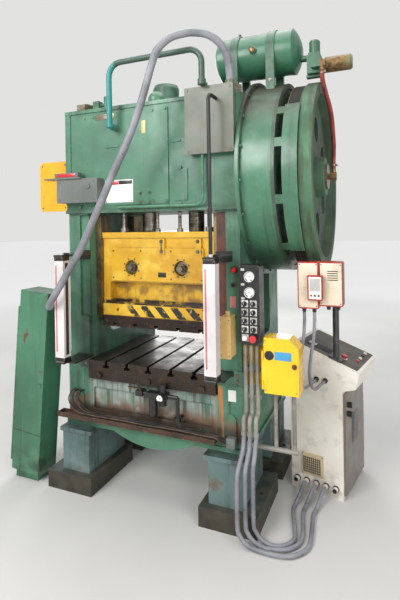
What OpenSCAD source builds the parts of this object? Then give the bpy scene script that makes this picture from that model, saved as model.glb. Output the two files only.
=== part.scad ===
// Straight-side mechanical stamping press: a bed on four feet, two uprights, a crown
// held down by four tie rods, a gibbed slide on two plungers, and a belt-driven flywheel
// on the crown's right end. Its guards, air parts, controls and cabinets stand round it.
// The origin is on the floor, midway between the four anchor holes. X runs to the
// flywheel side, Y to the back, Z up. Millimetres.

/* [Frame] */
// Width over the two uprights and the crown
frame_w = 1164; // [1120:4:1200]
// Width of one upright, seen from the front
upright_w = 145; // [140:5:150]
// Half depth of the bed and the uprights
frame_hd = 430; // [420:5:440]
// Height of the bed's underside above the floor
bed_z0 = 380; // [360:5:400]
// Height of the bed's top, under the bolster
bed_z1 = 690; // [680:5:700]
// Height of the joint between the bed's cheeks and the uprights
cheek_z = 750; // [740:5:760]
// Height of the crown's underside
crown_z0 = 1735; // [1725:5:1745]
// Height of the crown's top
crown_z1 = 2390; // [2380:5:2400]
// How far the crown's front stands before the uprights
crown_lip = 20; // [15:1:25]
// Radius of the tie rods
tie_r = 30; // [26:1:34]
// Width across the corners of a tie rod nut
tie_nut_d = 130; // [120:2:140]

/* [Feet] */
// Height of the dark base blocks
base_h = 110; // [100:5:120]
// Width of one foot's column
foot_w = 200; // [190:5:210]
// Depth of one foot's column, front to back
foot_d = 400; // [380:5:410]
// Distance of the anchor holes outside the frame's sides
anchor_out = 63; // [58:1:68]
// Distance between the anchor holes from front to back
anchor_y = 600; // [560:10:640]
// Radius of the anchor holes
anchor_r = 13; // [11:0.5:15]

/* [Bolster] */
// Gap between the bolster plate and an upright
bolster_gap = 7; // [4:1:12]
// Depth of the bolster plate, front to back
bolster_d = 720; // [700:5:730]
// Thickness of the bolster plate
bolster_t = 115; // [105:5:120]
// Width of a T-slot's mouth
tslot_w = 22; // [18:1:26]
// Distance between neighbouring T-slots
tslot_pitch = 150; // [140:5:160]

/* [Slide] */
// Thickness of the gibs, which set the slide's width
gib_t = 43.7; // [40:0.1:48]
// Depth of the slide, front to back
slide_d = 500; // [480:5:520]
// Place of the slide's centre line, front to back
slide_y = -85; // [-95:1:-75]
// Height of the slide body's underside with the slide at the top of its stroke
slide_z0 = 1075; // [1065:1:1085]
// Height of the slide body's top
slide_z1 = 1611; // [1600:1:1620]
// Thickness of the slide's bottom plate
slide_plate_t = 70; // [65:1:74]
// Length of the stroke
stroke = 76; // [60:1:90]
// Radius of the two plungers
plunger_r = 52; // [46:1:58]
// Distance between the plungers and between the adjusters below them
plunger_dx = 348; // [340:2:360]
// Clearance between pieces that slide past each other
run_gap = 0.3; // [0.3:0.1:0.5]

/* [Flywheel] */
// Radius of the flywheel
fly_r = 570; // [560:1:575]
// Height of the flywheel's axis
fly_z = 1940; // [1930:1:1950]
// Place of the flywheel's axis, front to back
fly_y = 100; // [90:1:110]
// Distance of the flywheel's inner side from the crown's end
fly_gap = 250; // [246:1:256]
// Width of the flywheel's rim
fly_w = 148; // [140:1:152]
// Radius of the drum housing between the crown and the flywheel
drum_r = 585; // [575:1:590]
// Width of the drum housing
drum_w = 208; // [200:1:212]
// Radius of the drive shaft
shaft_r = 55; // [50:1:60]
// Radius of the motor's sheave
sheave_r = 95; // [85:1:105]
// Number of V-belts
belts = 4; // [3:1:5]

/* [Air] */
// Radius of the air tank on the crown
tank_r = 135; // [128:1:140]
// Length of the tank's straight part
tank_l = 430; // [400:5:440]
// Radius of the exhaust silencer
silencer_r = 45; // [40:1:50]
// Outside diameter of the red air hose
hose_d = 26; // [24:1:28]

/* [Controls] */
// Width of the black push-button panel
panel_w = 116; // [110:1:120]
// Height of the black push-button panel
panel_h = 430; // [420:2:440]
// Radius of the two round gauges on the panel
dial_r = 28; // [24:1:30]
// Width of the yellow operator box
opbox_w = 184; // [176:1:192]
// Height of the yellow operator box
opbox_h = 294; // [286:2:302]
// Height of the light curtain heads
curtain_h = 632; // [620:2:640]
// Width of the light curtain heads
curtain_w = 68; // [60:1:72]
// Outside diameter of the thick grey conduit
conduit_d = 42; // [38:1:46]
// Outside diameter of the console's conduits
lead_d = 24; // [22:1:28]

/* [Cabinets] */
// Width of the tall cabinet beside the press
tall_w = 225; // [215:1:235]
// Height of the tall cabinet
tall_h = 1190; // [1170:5:1210]
// Depth of the tall cabinet
tall_d = 160; // [150:1:170]
// Lean of the tall cabinet towards the press, in degrees
tall_lean = 5; // [4.5:0.1:5.5]
// Width of the console, seen from its side
console_w = 325; // [315:1:335]
// Depth of the console
console_d = 420; // [400:5:440]
// Height of the console at the back of its desk
console_h = 912; // [900:2:920]
// Wall of the sheet-metal enclosures
sheet = 4; // [3:0.5:5]

/* [Hidden] */
$fn = 64;

half = frame_w / 2;
up_in = half - upright_w;
crown_front = -frame_hd - crown_lip;
tie_x = half - upright_w / 2;
tie_y = frame_hd - 100;
foot_in = half + 18 - foot_w;
foot_y1 = frame_hd + 70;
anchor_x = 2 * (half + anchor_out);
slide_w = 2 * (up_in - gib_t - run_gap);
bolster_w = 2 * (up_in - bolster_gap);
bolster_front = -frame_hd - 20;
curtain_x = [-half + 56, half - 136];
curtain_y = -frame_hd - 185;
bolster_z = bed_z1 + bolster_t;
curtain_z = bolster_z + 35;
slide_front = slide_y - slide_d / 2;
slide_back = slide_y + slide_d / 2;
bar_w = 26;
bar_hd = 145;
drum_x1 = half + drum_w;
fly_x0 = half + fly_gap;
fly_x1 = fly_x0 + fly_w;
belt_w = 70;
groove_p = belt_w / (belts + 0.5);
tank_x0 = half - 197;
tank_y = -50;
tank_z = crown_z1 + 302;
valve_x = fly_x0 + 73;
motor_y = fly_y + fly_r + sheave_r + 110;
panel_x = half + 1 + panel_w / 2;
panel_y = -frame_hd - 40;
panel_z1 = 1430;
hinge_r = 6;
gland_l = 60;
stem_r = 8;
row_p = 46;

// A box between two values on each axis.
module blk(x, y, z) {
    translate([x[0], y[0], z[0]])
        cube([x[1] - x[0], y[1] - y[0], z[1] - z[0]]);
}

// A rectangle with round corners, from two values on each axis.
module rrect(x, y, r) {
    union() {
        translate([x[0] + r, y[0]])
            square([x[1] - x[0] - 2 * r, y[1] - y[0]]);
        translate([x[0], y[0] + r])
            square([x[1] - x[0], y[1] - y[0] - 2 * r]);
        for (i = [0, 1], j = [0, 1])
            translate([x[i] + (i == 0 ? r : -r), y[j] + (j == 0 ? r : -r)])
                circle(r = r, $fn = 32);
    }
}

// A box whose corners are round as seen from the front.
module front_box(x, y, z, r) {
    translate([0, y[1], 0])
        rotate([90, 0, 0])
            linear_extrude(y[1] - y[0])
                rrect(x, z, r);
}

// A box whose corners are round as seen from the side.
module side_box(x, y, z, r) {
    translate([x[0], 0, 0])
        rotate([90, 0, 90])
            linear_extrude(x[1] - x[0])
                rrect(y, z, r);
}

// A box whose corners are round as seen from above.
module top_box(x, y, z, r) {
    translate([0, 0, z[0]])
        linear_extrude(z[1] - z[0])
            rrect(x, y, r);
}

module rod_x(x, y, z, r) {
    translate([x[0], y, z])
        rotate([0, 90, 0])
            cylinder(h = x[1] - x[0], r = r);
}

module rod_y(x, y, z, r) {
    translate([x, y[0], z])
        rotate([-90, 0, 0])
            cylinder(h = y[1] - y[0], r = r);
}

module rod_z(x, y, z, r) {
    translate([x, y, z[0]])
        cylinder(h = z[1] - z[0], r = r);
}

// A quarter bend of round tube, in the plane of X and Z, opening down and to the left.
module bend(R, r) {
    rotate([90, 0, 0])
        rotate_extrude(angle = 90)
            translate([R, 0])
                circle(r = r, $fn = 24);
}

module both_sides() {
    children();
    mirror([1, 0, 0])
        children();
}

module four() {
    for (sx = [-1, 1], sy = [-1, 1])
        place_corner(sx, sy)
            children();
}

module place_corner(sx, sy) {
    if (sx < 0 && sy < 0)
        mirror([1, 0, 0]) mirror([0, 1, 0]) children();
    if (sx < 0 && sy > 0)
        mirror([1, 0, 0]) children();
    if (sx > 0 && sy < 0)
        mirror([0, 1, 0]) children();
    if (sx > 0 && sy > 0)
        children();
}

function unit(v) = v / norm(v);

// The direction of a route at its point i, from its neighbours.
function heading(p, i) = unit(p[min(i + 1, len(p) - 1)] - p[max(i - 1, 0)]);

// A side vector carried along the route, so the tube doesn't twist.
function carried(p, i, s) =
    i == 0 ? unit(s - (s * heading(p, 0)) * heading(p, 0))
    : let (q = carried(p, i - 1, s))
      unit(q - (q * heading(p, i)) * heading(p, i));

// A closed tube swept along the route's points.
module tube(p, r, side, sides = 10) {
    n = len(p);
    ring = [for (i = [0 : n - 1])
        let (t = heading(p, i), u = carried(p, i, side), v = cross(t, u))
        [for (k = [0 : sides - 1])
            p[i] + r * (cos(k * 360 / sides) * u + sin(k * 360 / sides) * v)]];
    polyhedron(
        points = [for (a = ring, b = a) b],
        faces = concat(
            [[for (k = [0 : sides - 1]) k]],
            [for (i = [0 : n - 2], k = [0 : sides - 1])
                let (m = (k + 1) % sides)
                [i * sides + k, (i + 1) * sides + k, (i + 1) * sides + m, i * sides + m]],
            [[for (k = [sides - 1 : -1 : 0]) (n - 1) * sides + k]]));
}

// A point given in the tall cabinet's own frame.
function tall_at(x, y, z) =
    [-half - 295 - tall_w / 2 + x * cos(tall_lean) + z * sin(tall_lean), y - frame_hd - 115,
     60 - x * sin(tall_lean) + z * cos(tall_lean)];

// A point given in the console's own frame.
function console_at(x, y, z) =
    [half + 170 + x * cos(11) + y * sin(11), 30 - x * sin(11) + y * cos(11), z];

// Routes of the free conduits and the hose, chosen by hand.
thick_route = [tall_at(tall_w + gland_l * cos(60) + 0.1, 60 - gland_l * sin(60) - 0.18, tall_h - 60),
    [-601, -599, 1160], [-557, -659, 1172], [-505, -700, 1210], [-456, -712, 1267],
    [-314, -704, 1476], [-261, -701, 1563], [-160, -698, 1753], [-59, -695, 1944],
    [42, -691, 2134], [111, -683, 2302], [185, -664, 2545], [220, -656, 2609],
    [278, -643, 2653], [348, -628, 2668], [405, -616, 2668], [479, -590, 2652],
    [532, -552, 2607], [554, -509, 2543], [556, crown_front - 32, 2460],
    [556, crown_front - 32, 2435.1]];
red_route = [[995, -121, 2535.9], [995, -121, 2516], [996, -117, 2487], [1000, -107, 2460],
    [1013, -72, 2396], [1027, -37, 2330], [1033, -4, 2268], [1034, 29, 2201], [1034, 63, 2135],
    [1032, 77, 2105], [1030, 88, 2084], [1028, 97, 2059], [1027, fly_y, 2033],
    [1027, fly_y, 1985.1]];
lead_routes = [
    [[606, -490, 519.9], [606, -490, 506], [606, -508, 449], [606, -555, 412], [606, -602, 376],
     [606, -620, 319], [606, -620, 111], [619, -620, 62], [654, -620, 27], [703, -620, 14],
     [796, -620, 14], [875, -598, 14], [930, -537, 14], [945, -456, 14], [927, -258, 14],
     [930, -208, 14], [933, -193, 14], [945, -130, 38], console_at(220, -54, 64),
     console_at(220, -30.1, 64)],
    [[640, -490, 519.9], [640, -490, 506], [640, -503, 456], [640, -540, 419], [640, -577, 383],
     [640, -590, 333], [640, -590, 111], [653, -590, 62], [688, -590, 27], [737, -590, 14],
     [761, -590, 14], [837, -567, 14], [889, -507, 14], [899, -428, 14], [871, -253, 14],
     [872, -190, 14], [886, -119, 38], console_at(160, -54, 64), console_at(160, -30.1, 64)],
    [[674, -490, 519.9], [674, -490, 506], [674, -525, 430], [674, -560, 354], [674, -560, 111],
     [687, -560, 62], [722, -560, 27], [771, -560, 14], [822, -543, 14], [858, -498, 14],
     [862, -441, 14], [816, -248, 14], [815, -172, 14], [827, -108, 38],
     console_at(100, -54, 64), console_at(100, -30.1, 64)]];

module feet() {
    color([0.35, 0.55, 0.45])
        four() {
            foot();
            base_block();
        }
}

// One foot's column: a box with a top flange and side ribs, made for +X and +Y.
module foot() {
    z0 = base_h + 0.3;
    y0 = foot_y1 - foot_d;
    difference() {
        union() {
            blk([foot_in, foot_in + foot_w], [y0, foot_y1], [z0, bed_z0 - 24]);
            blk([foot_in - 25, foot_in + foot_w + 12], [y0 - 15, foot_y1 + 12],
                [bed_z0 - 24, bed_z0]);
            for (x = [foot_in + foot_w, foot_in - 14])
                blk([x, x + 14], [y0 + foot_d / 2 - 8, y0 + foot_d / 2 + 8],
                    [z0 + 40, bed_z0 - 24]);
        }
        rod_z(tie_x, tie_y, [bed_z0 - 72, bed_z0 + 1], tie_nut_d / 2 + 9);
    }
}

// The dark block that the column stands on, with its anchor hole beside the column.
module base_block() {
    difference() {
        blk([foot_in - 45, anchor_x / 2 + 40], [foot_y1 - foot_d - 35, foot_y1 + 45],
            [0, base_h]);
        rod_z(anchor_x / 2, anchor_y / 2, [-1, base_h + 1], anchor_r);
    }
}

module bed() {
    color([0.35, 0.55, 0.45])
        difference() {
            union() {
                blk([-half - 18, half + 18], [-frame_hd, frame_hd], [bed_z0, bed_z1]);
                both_sides()
                    blk([up_in, half + 18], [-frame_hd, frame_hd], [bed_z1, cheek_z]);
                blk([-half - 30, half + 30], [-frame_hd - 10, frame_hd + 10],
                    [bed_z0, bed_z0 + 25]);
                both_sides()
                    front_box([up_in + 40, up_in + 110], [-frame_hd - 12, -frame_hd],
                              [bed_z0 + 70, bed_z0 + 215], 34);
                apron();
            }
            four()
                rod_z(tie_x, tie_y, [bed_z0 - 1, cheek_z + 1], tie_r + 1);
            blk([-up_in + 30, up_in - 30], [-frame_hd - 1, -frame_hd + 14],
                [bed_z0 + 120, bed_z1 - 60]);
        }
}

// The bowed apron below the bed's front.
module apron() {
    translate([0, -frame_hd, 0])
        rotate([90, 0, 0])
            linear_extrude(20)
                intersection() {
                    translate([20, bed_z0 + 520])
                        circle(r = 580, $fn = 128);
                    translate([-330, bed_z0 - 80])
                        square([700, 130]);
                }
}

// One upright with its side window, made for +X.
module upright() {
    difference() {
        union() {
            blk([up_in, half], [-frame_hd, frame_hd], [cheek_z, crown_z0]);
            blk([up_in, half + 12], [-frame_hd - 6, frame_hd + 6], [cheek_z, cheek_z + 88]);
        }
        side_box([up_in - 1, half + 13], [-200, 200], [930, 1600], 60);
        four()
            rod_z(tie_x, tie_y, [cheek_z - 1, crown_z0 + 1], tie_r + 1);
        blk([up_in - 1, up_in + 62], [-frame_hd - 1, -frame_hd + 16],
            [cheek_z + 330, crown_z0 - 12]);
    }
}

module upright_left() {
    color([0.35, 0.55, 0.45])
        mirror([1, 0, 0])
            upright();
}

module upright_right() {
    color([0.35, 0.55, 0.45])
        upright();
}

module crown() {
    color([0.35, 0.55, 0.45]) {
        crown_body();
        crown_caps();
    }
}

module crown_body() {
    difference() {
        union() {
            blk([-half, half], [crown_front, frame_hd], [crown_z0, crown_z1]);
            blk([-half, half], [crown_front - 12, frame_hd + 12], [crown_z0, crown_z0 + 18]);
            blk([-half, half], [crown_front - 8, crown_front], [crown_z1 - 22, crown_z1]);
            front_box([-half + 140, 160], [crown_front - 8, crown_front],
                      [crown_z0 + 45, crown_z1 - 40], 12);
            blk([-half, -half + 40], [crown_front - 6, crown_front],
                [crown_z0 + 60, crown_z1 - 22]);
            blk([200, 280], [crown_front - 6, crown_front],
                [crown_z0 + 60, crown_z0 + 240]);
            for (x = [-half + 112, 235], z = [crown_z0 + 40, crown_z0 + 250])
                rod_y(x, [crown_front - 14, crown_front], z, 11);
        }
        for (s = [-1, 1]) {
            rod_z(s * plunger_dx / 2, slide_y, [crown_z0 - 1, crown_z0 + 184 + stroke],
                  plunger_r + 0.08);
            rod_z(s * 311, -200, [crown_z0 - 1, crown_z0 + 124 + stroke], 20);
        }
        rod_z(-38, -230, [crown_z0 - 1, crown_z0 + 124 + stroke], 16);
        rod_z(122, -230, [crown_z0 - 1, crown_z0 + 124 + stroke], 16);
        four()
            rod_z(tie_x, tie_y, [crown_z0 - 1, crown_z1 + 1], tie_r + 1);
        rod_x([half - 160, half + 1], fly_y, fly_z, shaft_r + 0.06);
    }
}

// Tie rods through bed, uprights and crown, with a nut at each end.
module tie_rods() {
    color([0.3, 0.48, 0.4])
        four() {
            rod_z(tie_x, tie_y, [bed_z0 - 70, crown_z1 + 70], tie_r);
            translate([tie_x, tie_y, crown_z1])
                tie_nut();
            translate([tie_x, tie_y, bed_z0])
                mirror([0, 0, 1])
                    tie_nut();
        }
}

module tie_nut() {
    difference() {
        union() {
            cylinder(h = 60, d = tie_nut_d, $fn = 6);
            cylinder(h = 12, d = tie_nut_d + 14);
        }
        translate([0, 0, -1])
            cylinder(h = 70, r = tie_r + 0.3);
    }
}

// Round covers on the crown: the tall one over the drive's chamber, and a low dome.
module crown_caps() {
    z = crown_z1 + 0.3;
    union() {
        rod_z(45, -240, [z, z + 120], 84);
        rod_z(45, -240, [z, z + 22], 100);
        translate([45, -240, z + 120])
            rotate_extrude()
                polygon([[0, 0], [84, 0], [74, 22], [40, 34], [0, 36]]);
    }
    intersection() {
        translate([60, -400, z + 15])
            sphere(r = 52);
        blk([0, 120], [-460, -342], [z, z + 80]);
    }
    union() {
        blk([-tie_x + 90, -tie_x + 135], [-380, -330], [z, z + 70]);
        rod_z(-tie_x + 180, -355, [z, z + 95], 18);
        rod_x([-tie_x + 134, -tie_x + 180], -355, z + 45, 11);
    }
}

module gib(y0, y1) {
    blk([slide_w / 2 + run_gap, up_in], [y0, y1], [slide_z0 + 56 - stroke, crown_z0 - 15]);
}

module gibs() {
    y0 = slide_front - 10;
    y1 = slide_back + 10;
    color([0.45, 0.45, 0.4])
        both_sides() {
            difference() {
                gib(y0, slide_y - bar_hd - run_gap);
                for (k = [0 : 4])
                    rod_y(slide_w / 2 + 24, [y0 - 1, y0 + 9], slide_z0 + 60 + k * 130, 12);
            }
            gib(slide_y + bar_hd + run_gap, y1);
            for (k = [0 : 4])
                rod_y(slide_w / 2 + 24, [y0 - 5, y0 + 9], slide_z0 + 60 + k * 130, 11.5);
        }
}

// The slide's body, from its broad head to the band above the bottom plate.
module slide() {
    w = slide_w / 2;
    f = slide_front;
    color([0.9, 0.74, 0.2])
        difference() {
            union() {
                blk([-w, w], [f + 12, slide_back], [slide_z0, slide_z1]);
                blk([-w, w], [f, slide_back], [slide_z1 - 36, slide_z1]);
                blk([-w, w], [f, slide_back], [slide_z0, slide_z0 + 75]);
                front_box([-w + 70, w - 70], [f, f + 13], [slide_z0 + 226, slide_z1 - 100], 8);
                both_sides()
                    blk([w, w + bar_w], [slide_y - bar_hd, slide_y + bar_hd],
                        [slide_z0 + 20, slide_z1 - 10]);
                for (x = [44, 288])
                    blk([x - 22, x + 22], [f - 6, f + 13], [slide_z1 - 140, slide_z1 - 40]);
            }
            front_box([-w + 50, w - 50], [f - 20, f + 75], [slide_z0 + 82, slide_z0 + 218], 18);
            for (s = [-1, 1])
                rod_y(s * plunger_dx / 2, [f - 20, f + 60], slide_z0 + 312, 46);
            for (s = [-1, 1])
                rod_y(s * (w - 110), [f - 20, f + 30], slide_z0 + 38, 9);
        }
}

module slide_plate() {
    w = slide_w / 2 - 5;
    color([0.22, 0.16, 0.12])
        difference() {
            blk([-w, w], [slide_front - 10, slide_back + 10],
                [slide_z0 - slide_plate_t, slide_z0]);
            for (x = [-300, -150, 0, 150, 300]) {
                blk([x - 9, x + 9], [slide_front - 12, slide_back + 12],
                    [slide_z0 - slide_plate_t - 1, slide_z0 - slide_plate_t + 22]);
                blk([x - 16, x + 16], [slide_front - 12, slide_back + 12],
                    [slide_z0 - slide_plate_t + 12, slide_z0 - slide_plate_t + 24]);
            }
        }
}

// Plungers, counterbalance rods and shut-height rods, which all rise into the crown.
module plungers() {
    color([0.72, 0.7, 0.68]) {
        for (s = [-1, 1]) {
            rod_z(s * plunger_dx / 2, slide_y, [slide_z1, crown_z0 + 164 + stroke], plunger_r);
            union() {
                rod_z(s * 311, -200, [slide_z1, crown_z0 + 104 + stroke], 14);
                rod_z(s * 311, -200, [slide_z1, slide_z1 + 26], 26);
            }
        }
        for (x = [-38, 122])
            union() {
                rod_z(x, -230, [slide_z1, crown_z0 + 104 + stroke], 11);
                rod_z(x, -230, [slide_z1, slide_z1 + 20], 19);
            }
    }
}

// A shut-height adjuster: a shouldered hex spindle in the slide's port.
module adjuster(s) {
    f = slide_front;
    x = s * plunger_dx / 2;
    z = slide_z0 + 312;
    color([0.55, 0.5, 0.4])
        union() {
            rod_y(x, [f + 22, f + 59.7], z, 40);
            rod_y(x, [f - 2, f + 22], z, 27);
            translate([x, f - 26, z])
                rotate([-90, 0, 0])
                    cylinder(h = 24, r = 22, $fn = 6);
        }
}

module adjuster_left() {
    adjuster(-1);
}

module adjuster_right() {
    adjuster(1);
}

module bolster() {
    w = bolster_w / 2;
    y = [bolster_front, bolster_front + bolster_d];
    color([0.2, 0.15, 0.12])
        difference() {
            union() {
                blk([-w, w], y, [bed_z1, bolster_z]);
                for (x = [80 - w, 0, w - 80])
                    rod_y(x, [bolster_front - 16, bolster_front], bed_z1 + 26, 20);
            }
            for (k = [-2 : 2]) {
                x = k * tslot_pitch;
                blk([x - tslot_w / 2, x + tslot_w / 2], [y[0] - 1, y[1] + 1],
                    [bolster_z - 24, bolster_z + 1]);
                blk([x - tslot_w, x + tslot_w], [y[0] - 1, y[1] + 1],
                    [bolster_z - 42, bolster_z - 22]);
            }
        }
}

module drum_housing() {
    color([0.4, 0.62, 0.5])
        union() {
            drum();
            belt_guard();
        }
}

module drum() {
    difference() {
        union() {
            rod_x([half, half + 22], fly_y, fly_z, drum_r + 28, $fn = 128);
            rod_x([half + 22, drum_x1], fly_y, fly_z, drum_r, $fn = 128);
            rod_x([drum_x1 - 14, drum_x1 + 6], fly_y, fly_z, 150);
            for (k = [0 : 19])
                translate([half + 22, fly_y, fly_z])
                    rotate([k * 18 + 5, 0, 0])
                        translate([0, 0, drum_r + 14])
                            rotate([0, 90, 0])
                                cylinder(h = 9, r = 9);
        }
        rod_x([half - 1, drum_x1 + 7], fly_y, fly_z, shaft_r + 0.06);
        translate([drum_x1 - 10, fly_y, fly_z])
            rotate([0, 90, 0])
                rotate_extrude($fn = 128)
                    translate([drum_r - 60, 0])
                        square([30, 20]);
    }
}

// Rim with V-grooves on its inner half, a web with lightening holes, and a long hub.
module flywheel() {
    color([0.3, 0.42, 0.34])
        translate([fly_x0, fly_y, fly_z])
            rotate([0, 90, 0])
                difference() {
                    rotate_extrude($fn = 128)
                        polygon(concat(
                            [[shaft_r, -26], [130, -26], [130, 52], [fly_r - 90, 52],
                             [fly_r - 84, 0], [fly_r - 14, 0]],
                            [for (k = [0 : belts - 1], j = [0 : 3])
                                [fly_r - [10, 28, 28, 10][j],
                                 6 + k * groove_p + [1, 6, 9, 14][j] * groove_p / 15.5]],
                            [[fly_r - 10, belt_w + 6], [fly_r, belt_w + 10], [fly_r, fly_w],
                             [fly_r - 66, fly_w], [fly_r - 78, 92], [130, 92], [118, fly_w],
                             [shaft_r, fly_w]]));
                    for (k = [0 : 5])
                        rotate([0, 0, k * 60])
                            translate([300, 0, 40])
                                cylinder(h = 64, r = 80);
                }
}

module drive_shaft() {
    color([0.6, 0.6, 0.58])
        union() {
            rod_x([half - 155, fly_x1 + 4], fly_y, fly_z, shaft_r);
            rod_x([fly_x1, fly_x1 + 14], fly_y, fly_z, 80);
        }
}

// The air inlet in the shaft's end: a still body with an elbow for the hose.
module rotary_union() {
    color([0.55, 0.5, 0.42])
        union() {
            rod_x([fly_x1 + 14 + run_gap, fly_x1 + 62], fly_y, fly_z, 20);
            rod_x([fly_x1 + 30, fly_x1 + 64], fly_y, fly_z, 26);
            rod_z(fly_x1 + 47, fly_y, [fly_z, fly_z + 45], 13);
        }
}

// A curved cover over the grooves at the front, on lugs from the drum.
module belt_guard() {
    x0 = fly_x0 - 2;
    x1 = fly_x0 + belt_w + 8;
    union() {
        intersection() {
            difference() {
                rod_x([x0, x1], fly_y, fly_z, fly_r + 16, $fn = 128);
                rod_x([x0 - 1, x1 + 1], fly_y, fly_z, fly_r + 4, $fn = 128);
            }
            translate([0, fly_y, fly_z])
                rotate([90, 0, 90])
                    linear_extrude(2000)
                        polygon([[0, 0], [-1000, 780], [-1000, -1150]]);
        }
        for (a = [-46, -16, 14, 34])
            translate([0, fly_y, fly_z])
                rotate([-a, 0, 0])
                    blk([drum_x1 - 20, x0 + 10], [-fly_r - 13, -fly_r - 5], [-25, 25]);
    }
}

// A foot-mounted motor on a bracket behind the crown, its shaft along X.
module motor() {
    x0 = half - 282;
    x1 = half + 160;
    y = motor_y;
    color([0.3, 0.42, 0.36])
        union() {
            rod_x([x0, x1], y, fly_z, 140);
            rod_x([x0 - 40, x0], y, fly_z, 120);
            rod_x([x1, x1 + 30], y, fly_z, 100);
            rod_x([x1 + 30, fly_x0 - 24], y, fly_z, 24);
            for (k = [0 : 11])
                translate([0, y, fly_z])
                    rotate([k * 30, 0, 0])
                        blk([x0 + 20, x1 - 20], [-3, 3], [120, 152]);
            blk([x0 + 30, x1 - 30], [y - 130, y + 130], [fly_z - 190, fly_z - 160]);
            blk([x0 + 40, x1 - 40], [y - 90, y + 90], [fly_z - 165, fly_z - 100]);
            blk([x0 + 20, half - 20], [frame_hd + 12, y + 130], [fly_z - 220, fly_z - 190]);
            for (x = [x0 + 20, half - 50])
                translate([x, 0, 0])
                    rotate([90, 0, 90])
                        linear_extrude(30)
                            polygon([[frame_hd + 12, fly_z - 420], [frame_hd + 12, fly_z - 220],
                                     [y + 100, fly_z - 220], [y + 100, fly_z - 250]]);
            blk([x0 + 20, half - 20], [frame_hd + 12, frame_hd + 36],
                [fly_z - 420, fly_z + 60]);
            blk([x0 + 20, half - 20], [frame_hd, frame_hd + 13],
                [crown_z0 + 18.3, fly_z + 60]);
        }
}

module motor_sheave() {
    color([0.35, 0.35, 0.33])
        translate([fly_x0, motor_y, fly_z])
            rotate([0, 90, 0])
                rotate_extrude()
                    polygon(concat(
                        [[0, -23.7], [45, -23.7], [45, 0], [sheave_r, 0]],
                        [for (k = [0 : belts - 1], j = [0 : 3])
                            [sheave_r - [0, 18, 18, 0][j],
                             6 + k * groove_p + [1, 6, 9, 14][j] * groove_p / 15.5]],
                        [[sheave_r, belt_w + 10], [0, belt_w + 10]]));
}

// Each belt: a closed loop round the flywheel and the sheave, clear of both grooves.
module v_belts() {
    c = motor_y - fly_y;
    R = fly_r - 12;
    q = sheave_r - 2;
    a = acos((R - q) / c);
    color([0.12, 0.12, 0.12])
        for (k = [0 : belts - 1])
            translate([fly_x0 + 6 + groove_p * (k + 4.8 / 15.5), fly_y, fly_z])
                rotate([90, 0, 90])
                    linear_extrude(groove_p * 5.4 / 15.5)
                        difference() {
                            loop(R, q, c, a);
                            loop(R - 9, q - 9, c, a);
                        }
}

module loop(R, q, c, a) {
    union() {
        circle(r = R, $fn = 128);
        translate([c, 0])
            circle(r = q);
        polygon([[R * cos(a), R * sin(a)], [c + q * cos(a), q * sin(a)],
                 [c + q * cos(a), -q * sin(a)], [R * cos(a), -R * sin(a)]]);
    }
}

// A dished tank end, made for the left side.
module dish() {
    intersection() {
        translate([160, 0, 0])
            sphere(r = 220, $fn = 96);
        rotate([0, -90, 0])
            cylinder(h = 80, r = tank_r);
    }
}

module tank() {
    color([0.35, 0.55, 0.45])
        union() {
            rod_x([tank_x0, tank_x0 + tank_l], tank_y, tank_z, tank_r);
            translate([tank_x0, tank_y, tank_z])
                dish();
            translate([tank_x0 + tank_l, tank_y, tank_z])
                mirror([1, 0, 0])
                    dish();
            rod_x([tank_x0 + tank_l + 40, valve_x], tank_y, tank_z - 50, 20);
            rod_y(tank_x0 + 215, [tank_y - tank_r - 14, tank_y], tank_z, 24);
        }
}

module tank_strap(x) {
    difference() {
        union() {
            rod_x([x, x + 50], tank_y, tank_z, tank_r + 7);
            blk([x, x + 50], [tank_y - tank_r - 7, tank_y + tank_r + 7], [crown_z1 - 10, tank_z]);
        }
        rod_x([x - 1, x + 51], tank_y, tank_z, tank_r + 0.2);
        blk([x - 1, x + 51], [tank_y - tank_r + 25, tank_y + tank_r - 25], [crown_z1 - 11, tank_z - 60]);
        blk([x - 1, half + 0.2], [-600, 600], [crown_z1 - 20, crown_z1]);
        rod_x([half, drum_x1 + 1], fly_y, fly_z, drum_r + 0.2, $fn = 128);
        rod_x([half - 1, half + 22.2], fly_y, fly_z, drum_r + 28.2, $fn = 128);
    }
}

module tank_straps() {
    color([0.35, 0.52, 0.44]) {
        union() {
            tank_strap(tank_x0 + 70);
            rod_z(tank_x0 + 95, tank_y, [tank_z + tank_r, tank_z + tank_r + 30], 9);
        }
        tank_strap(tank_x0 + 295);
    }
}

// Clutch air valve: a stacked body with a coil head and a side port for the hose.
module clutch_valve() {
    color([0.3, 0.45, 0.38])
        translate([valve_x, tank_y, tank_z - 50]) {
            silencer();
            union() {
                blk([0, 80], [-50, 50], [-107, -2]);
                blk([7, 73], [-42, 42], [-2, 18]);
                rod_z(40, 0, [13, 88], 32);
                blk([30, 108], [-90, -49], [-86, -48]);
                rod_z(90, -71, [-106, -85], 17);
                blk([-8, 87], [-20, 20], [-122, -106]);
            }
        }
}

module silencer() {
    union() {
        rod_x([80.3, 105], 0, -57, 22);
        rod_x([103, 245], 0, -57, silencer_r);
        rod_x([245, 253], 0, -57, silencer_r - 6);
    }
}

module red_hose() {
    color([0.6, 0.22, 0.18])
        tube(red_route, hose_d / 2, [1, 0, 0]);
}

module grey_panel() {
    x = half - 290;
    y = crown_front - 8;
    z = crown_z1 - 346;
    color([0.42, 0.45, 0.4])
        union() {
            front_box([x + 6, x + 284], [y - 42, y], [z + 6, z + 366], 8);
            front_box([x, x + 288], [y - 48, y - 42], [z, z + 372], 8);
            rod_z(half - 26, y - 24, [z + 366, z + 390.9], 24);
            for (i = [18, 270], k = [18, 354])
                rod_y(x + i, [y - 52, y - 47], z + k, 6);
        }
}

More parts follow.
